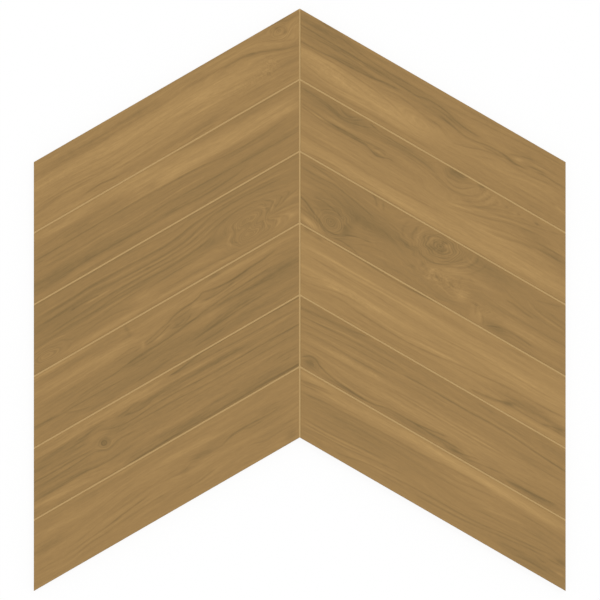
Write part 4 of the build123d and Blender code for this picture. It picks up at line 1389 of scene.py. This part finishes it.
@dataclass(frozen=True)
class PressedBody:
    """The unglazed porcelain of the planks' sides and backs, with a pale wash on the back."""

    colour: tuple[float, float, float] = (176, 156, 128)
    speck: tuple[float, float, float] = (138, 120, 96)
    wash: tuple[float, float, float] = (214, 208, 196)
    wash_height: float = 0.25 * MILLIMETRE
    wash_scale: float = 90.0
    wash_detail: float = 5.0
    wash_range: Point = (0.40, 0.60)  # of a noise, from where there is no wash to where it covers
    grit_scale: float = 1400.0
    grit_detail: float = 3.0
    grit_depth: float = 0.04 * MILLIMETRE
    grit_strength: float = 0.6
    speck_range: Point = (0.56, 0.72)  # of the same noise, from plain body to a full speck
    roughness: float = 0.8
    gloss: float = 0.3

    def build(self) -> bpy.types.Material:
        """Makes the material.

        Returns:
            The material for a plank's sides and back.
        """
        graph = Graph("pressed_body")
        place = graph.add("TexCoord").outputs["Object"]
        specks = graph.texture(place, self.grit_scale, self.grit_detail)
        body = graph.blend(graph.rise(specks, self.speck_range), self.colour, self.speck)

        height = graph.add("SeparateXYZ", {"Vector": place}).outputs["Z"]
        low = graph.math("LESS_THAN", height, self.wash_height)
        dusting = graph.texture(place, self.wash_scale, self.wash_detail)
        washed = graph.math("MULTIPLY", low, graph.rise(dusting, self.wash_range))
        colour = graph.blend(washed, body, self.wash)

        bump = {"Height": specks, "Distance": self.grit_depth, "Strength": self.grit_strength}
        return graph.surface(colour, self.roughness, self.gloss, bump)


@dataclass(frozen=True)
class SandedFiller:
    """The cement filler of the joints: fine sand in a tan paste."""

    paste: tuple[float, float, float] = (189, 158, 108)
    sand: tuple[float, float, float] = (176, 145, 98)
    sand_scale: float = 2800.0
    sand_range: Point = (0.5, 0.9)  # of the distance from a grain's middle, from paste to full sand
    sand_share: float = 0.7
    sand_depth: float = 0.06 * MILLIMETRE
    sand_strength: float = 0.7
    drift_scale: float = 60.0
    drift_detail: float = 3.0
    drift: Point = (0.5, -0.15)  # how much sandier the paste gets with a broad noise, and without it
    roughness: float = 0.9
    gloss: float = 0.2

    def build(self) -> bpy.types.Material:
        """Makes the material.

        Returns:
            The material for the joint filler.
        """
        graph = Graph("sanded_filler")
        place = graph.add("TexCoord").outputs["Object"]
        height = graph.add("TexVoronoi", {"Vector": place, "Scale": self.sand_scale}).outputs["Distance"]
        dark = graph.rise(height, self.sand_range, self.sand_share)
        drift = graph.texture(place, self.drift_scale, self.drift_detail)
        shade = graph.math("MULTIPLY_ADD", drift, *self.drift)
        amount = graph.math("ADD", dark, shade, clamp=True)
        colour = graph.blend(amount, self.paste, self.sand)
        bump = {"Height": height, "Distance": self.sand_depth, "Strength": self.sand_strength}
        return graph.surface(colour, self.roughness, self.gloss, bump)


# Pieces


def put(name: str, data: bpy.types.ID) -> bpy.types.Object:
    """A new object with this data, linked into the scene."""
    made = bpy.data.objects.new(name, data)
    bpy.context.scene.collection.objects.link(made)
    return made


@dataclass
class Planks:
    """The twelve printed planks, each with a pressed relief on its face and a keyed back."""

    rows: int = 6
    length: float = 216.5 * MILLIMETRE
    width: float = 42.8 * MILLIMETRE
    thickness: float = 8.0 * MILLIMETRE
    bevel: float = 0.3 * MILLIMETRE
    key_depth: float = 0.6 * MILLIMETRE
    key_groove: float = 1.8 * MILLIMETRE
    key_pitch: float = 14.2 * MILLIMETRE
    cell_length: float = 0.8 * MILLIMETRE
    cell_width: float = 0.34 * MILLIMETRE
    slope: float = math.radians(30)
    relief: float = 0.10 * MILLIMETRE
    mark_share: float = 0.55  # of the relief that a dark mark presses
    full_mark: float = 16.0  # how many levels darker than its ground a mark is that presses it fully
    fibre_share: float = 0.45  # of the relief that the fibres press
    fibre_scale: Point = (60, 700)  # how many times a metre they repeat, along and across the grain
    fibre_cover: float = 0.2  # how far the fibres' noise is raised, so that they cover more of the face
    phase_step: float = 1.7  # from the figure of one row to the next
    flow_step: float = 0.31  # metres of grain that a unit of phase moves on
    glaze_limit: float = 0.3  # how level a face has to be to carry glaze, 1 being flat

    @property
    def reach(self) -> float:
        """From a plank's first tip to its last, measured along its long sides."""
        return self.length + self.width * math.tan(self.slope)

    def lean(self, column: Column) -> Matrix:
        """The shear that gives a plank of this column its mitred ends."""
        sign = 1 if column is Column.LEFT else -1
        return Matrix(((1, sign * math.tan(self.slope), 0, 0), (0, 1, 0, 0), (0, 0, 1, 0), (0, 0, 0, 1)))

    def blank(self, column: Column) -> bmesh.types.BMesh:
        """Shapes an unprinted plank about the origin, with its long sides along X.

        Args:
            column: the column whose mitres it has.

        Returns:
            A closed mesh, with its face divided into fine cells.
        """
        lean = self.lean(column)
        half_length, half_width = self.length / 2, self.width / 2
        face_length = half_length - self.bevel / math.cos(self.slope)
        face_width = half_width - self.bevel
        bm = bmesh.new()
        face = lean @ Matrix.Diagonal((face_length, face_width, 1, 1))
        bmesh.ops.create_grid(
            bm,
            x_segments=round(self.length / self.cell_length),
            y_segments=round(self.width / self.cell_width),
            size=1.0,
            matrix=Matrix.Translation((0, 0, self.thickness)) @ face,
        )
        for grid_face in bm.faces:
            grid_face.smooth = True

        widen = Matrix.Diagonal((half_length / face_length, half_width / face_width, 1, 1))
        outward = lean @ widen @ lean.inverted()
        rim = [edge for edge in bm.edges if edge.is_boundary]
        rim = self.drop(bm, rim, Matrix.Translation((0, 0, -self.bevel)) @ outward)
        side = self.thickness - self.bevel - self.key_depth
        rim = self.drop(bm, rim, Matrix.Translation((0, 0, -side)))
        bmesh.ops.edgeloop_fill(bm, edges=rim)
        self.key_back(bm, lean)
        bmesh.ops.recalc_face_normals(bm, faces=bm.faces)
        return bm

    def drop(
        self, bm: bmesh.types.BMesh, rim: list[bmesh.types.BMEdge], step: Matrix
    ) -> list[bmesh.types.BMEdge]:
        """Extrudes the rim of an open mesh and moves the new rim.

        Args:
            bm: the mesh.
            rim: the edges of its boundary.
            step: how the new rim is moved.

        Returns:
            The edges of the new boundary.
        """
        for edge in rim:
            edge.smooth = False
        made = bmesh.ops.extrude_edge_only(bm, edges=rim)["geom"]
        verts = [part for part in made if isinstance(part, bmesh.types.BMVert)]
        bmesh.ops.transform(bm, matrix=step, verts=verts)
        return [part for part in made if isinstance(part, bmesh.types.BMEdge) and part.is_boundary]

    def key_back(self, bm: bmesh.types.BMesh, lean: Matrix) -> None:
        """Raises the pads of the back between its crossing grooves.

        Args:
            bm: the closed mesh, with a flat back at the bottom of the grooves.
            lean: the shear of the plank's ends.
        """
        across_count = int(self.width / self.key_pitch / 2) * 2 + 2
        along_count = int((self.length + self.width) / self.key_pitch / 2) * 2 + 2
        grooves = ((Vector((0, 1, 0)), across_count), (Vector((1, 0, 0)), along_count))
        for normal, count in grooves:
            for index in range(count):
                middle = (index - (count - 1) / 2) * self.key_pitch
                for edge_of in (-1, 1):
                    offset = middle + edge_of * self.key_groove / 2
                    back = self.back_faces(bm)
                    geometry = back + [e for f in back for e in f.edges] + [v for f in back for v in f.verts]
                    bmesh.ops.bisect_plane(
                        bm,
                        geom=list(dict.fromkeys(geometry)),
                        dist=1e-8,
                        plane_co=normal * offset,
                        plane_no=normal,
                    )
        pads = [f for f in self.back_faces(bm) if self.on_pad(f.calc_center_median())]
        raised = bmesh.ops.extrude_discrete_faces(bm, faces=pads)["faces"]
        verts = list({v for f in raised for v in f.verts})
        bmesh.ops.translate(bm, vec=(0, 0, -self.key_depth), verts=verts)

    def back_faces(self, bm: bmesh.types.BMesh) -> list[bmesh.types.BMFace]:
        """The faces that lie at the bottom of the grooves."""
        return [f for f in bm.faces if abs(f.calc_center_median().z - self.key_depth) < TOLERANCE]

    def on_pad(self, place: Vector) -> bool:
        """Whether a place on the back lies off every groove."""
        gaps = (abs((value / self.key_pitch) % 1 - 0.5) * self.key_pitch for value in (place.x, place.y))
        return all(gap > self.key_groove / 2 for gap in gaps)

    def build(self) -> list[bpy.types.Object]:
        """Makes every plank where its node lies.

        Returns:
            The planks' objects.
        """
        pieces = []
        glaze = PrintedGlaze().build()
        body = PressedBody().build()
        for column in Column:
            blank = self.blank(column)
            for row in range(1, self.rows + 1):
                name = f"{column.title}_{row}"
                mesh = bpy.data.meshes.new(f"printed_plank_{name}")
                blank.to_mesh(mesh)
                piece = put(mesh.name, mesh)
                mesh.materials.append(glaze)
                mesh.materials.append(body)
                self.print_face(mesh, Grain(FIGURES[name], phase=self.phase_step * row + column.value))
                self.lay(mesh, column, f"plank_{name}")
                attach(piece, BODY)
                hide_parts(f"plank_{name}")
                pieces.append(piece)
            blank.free()
        return pieces

    def lay(self, mesh: bpy.types.Mesh, column: Column, node: str) -> None:
        """Turns and moves a plank from the origin to its node's place."""
        low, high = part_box(node)
        middle = (low + high) / 2
        turn = Matrix.Rotation(math.radians(column.value), 4, "Z")
        mesh.transform(Matrix.Translation((middle.x, middle.y, low.z)) @ turn)

    def print_face(self, mesh: bpy.types.Mesh, grain: Grain) -> None:
        """Lays the print's grain and brightness on the plank, and presses its relief.

        Args:
            mesh: the plank about the origin.
            grain: the figure to print.
        """
        places = np.empty(len(mesh.vertices) * 3)
        mesh.vertices.foreach_get("co", places)
        places = places.reshape(-1, 3)
        along = (places[:, 0] / self.reach + 0.5) * FULL
        across = (0.5 - places[:, 1] / self.width) * FULL
        rings = grain.rings(along, across)
        shade = grain.shade(along, across)
        ring_contrast = grain.ring_contrast(along, across)
        values = {
            Attribute.SHADE: shade,
            Attribute.RINGS: ring_contrast,
            Attribute.CONTRAST: grain.contrast(shade, ring_contrast),
            Attribute.CURL: grain.curl(along, across),
        }
        for which, numbers in values.items():
            layer = mesh.attributes.new(which.value, "FLOAT", "POINT")
            layer.data.foreach_set("value", numbers.astype(np.float32))

        corner_verts = np.empty(len(mesh.loops), int)
        mesh.loops.foreach_get("vertex_index", corner_verts)
        flow = np.column_stack((places[:, 0] + self.flow_step * grain.phase, rings / FULL * self.width))
        uv = mesh.uv_layers.new(name=Attribute.GRAIN.value)
        uv.data.foreach_set("uv", flow[corner_verts].astype(np.float32).ravel())

        self.press(mesh, places, flow, shade - grain.figure.tone)
        normals = np.empty(len(mesh.polygons) * 3)
        mesh.polygons.foreach_get("normal", normals)
        unglazed = (normals.reshape(-1, 3)[:, 2] < self.glaze_limit).astype(int)
        mesh.polygons.foreach_set("material_index", unglazed)

    def press(self, mesh: bpy.types.Mesh, places: np.ndarray, flow: np.ndarray, mark: np.ndarray) -> None:
        """Presses the grain into the face, deepest along the dark streaks.

        Args:
            mesh: the plank about the origin.
            places: its vertices.
            flow: where each vertex lies along and across the grain.
            mark: how much brighter than its ground the print is there, in levels.
        """
        top = np.flatnonzero(places[:, 2] > self.thickness - self.bevel / 2)
        fibre = np.array([noise.noise(Vector((u, v, 0))) for u, v in flow[top] * self.fibre_scale])
        fibre = np.clip(fibre + self.fibre_cover, 0, 1)
        dark = np.clip(-mark[top] / self.full_mark, 0, 1)
        depth = self.relief * (self.mark_share * dark + self.fibre_share * fibre)
        inside = smooth(self.edge_gap(places[top]) / self.cell_length)
        places[top, 2] -= depth * inside
        mesh.vertices.foreach_set("co", places.ravel())
        mesh.update()

    def edge_gap(self, places: np.ndarray) -> np.ndarray:
        """How far each place lies inside the long sides of the face."""
        return self.width / 2 - self.bevel - np.abs(places[:, 1])


@dataclass
class Filler:
    """The joint filler between the planks, which keeps its own mesh."""

    node: str = "joint_filler"

    def dress(self, frame: dict) -> bpy.types.Object:
        """Gives the filler its material.


        Returns:
            The filler's object.
        """
        piece = frame["nodes"][self.node]
        piece.data.materials.clear()
        piece.data.materials.append(SandedFiller().build())
        return piece


# Setting


@dataclass
class Studio:
    """A pale floor, soft light and a camera that looks straight down from far above."""

    picture_width: float = 424.4 * MILLIMETRE  # what the picture takes in at the planks' faces
    camera_height: float = 6.0
    aim: Point = (0.19 * MILLIMETRE, -0.15 * MILLIMETRE)  # the sheet lies this far off the picture's middle
    sensor: float = 36.0
    view_depth: float = 100.0
    floor_size: float = 12.0
    floor_white: float = 0.97
    floor_glow: float = 0.9  # share of the floor's look that is plain white, so that shadows stay faint
    sky: float = 0.84  # share of the plain level that comes from all round
    lamp_share: float = 0.19
    lamp_tilt: float = math.radians(25)
    lamp_turn: float = math.radians(135)
    lamp_spread: float = math.radians(20)

    def build(self, face_height: float) -> None:
        """Makes the camera, the floor and the light.

        Args:
            face_height: how high the planks' faces lie.
        """
        self.place_camera(face_height)
        self.lay_floor()
        self.light()

    def place_camera(self, face_height: float) -> None:
        """Looks straight down at the middle of the sheet, with +Y up in the picture."""
        data = bpy.data.cameras.new("camera")
        data.sensor_width = self.sensor
        data.lens = self.sensor * (self.camera_height - face_height) / self.picture_width
        data.clip_end = self.view_depth
        camera = put("camera", data)
        camera.location = (*self.aim, self.camera_height)
        bpy.context.scene.camera = camera

    def lay_floor(self) -> None:
        """A white floor that keeps a faint shadow of the sheet."""
        bm = bmesh.new()
        bmesh.ops.create_grid(bm, x_segments=1, y_segments=1, size=self.floor_size / 2)
        mesh = bpy.data.meshes.new("floor")
        bm.to_mesh(mesh)
        bm.free()
        floor = put("floor", mesh)
        graph = Graph("floor")
        paint = graph.add("BsdfDiffuse", {"Color": (*[self.floor_white] * 3, 1)})
        white = graph.add("Emission", {"Color": (1, 1, 1, 1), "Strength": 1.0})
        share = graph.math("MULTIPLY", graph.looked_at(), self.floor_glow)
        mix = graph.add("MixShader", {0: share, 1: paint.outputs[0], 2: white.outputs[0]})
        mesh.materials.append(graph.end(mix))
        floor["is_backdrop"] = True

    def light(self) -> None:
        """Lights a level surface so that a colour renders about as it is written."""
        world = bpy.data.worlds.new("sky")
        graph = Graph(world)
        strength = graph.math("MULTIPLY_ADD", graph.looked_at(), 1 - self.sky, self.sky)
        background = graph.add("Background", {"Color": (1, 1, 1, 1), "Strength": strength})
        graph.add("OutputWorld", {"Surface": background.outputs[0]})
        bpy.context.scene.world = world

        lamp = bpy.data.lights.new("key", "SUN")
        lamp.angle = self.lamp_spread
        lamp.energy = self.lamp_share * math.pi / math.cos(self.lamp_tilt)
        put("key", lamp).rotation_euler = (self.lamp_tilt, 0, self.lamp_turn)


def main() -> None:
    """Builds the planks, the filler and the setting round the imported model."""
    logging.basicConfig(level=logging.INFO, format="%(name)s: %(message)s")
    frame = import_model()
    cad_box = [list(corner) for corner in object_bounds()]
    for piece in (*Planks().build(), Filler().dress(frame)):
        LOG.info("%s: %d faces", piece.name, len(piece.data.polygons))
    Studio().build(face_height=cad_box[1][2])
    bpy.context.scene.view_settings.view_transform = "Standard"


if __name__ == "__main__":
    main()
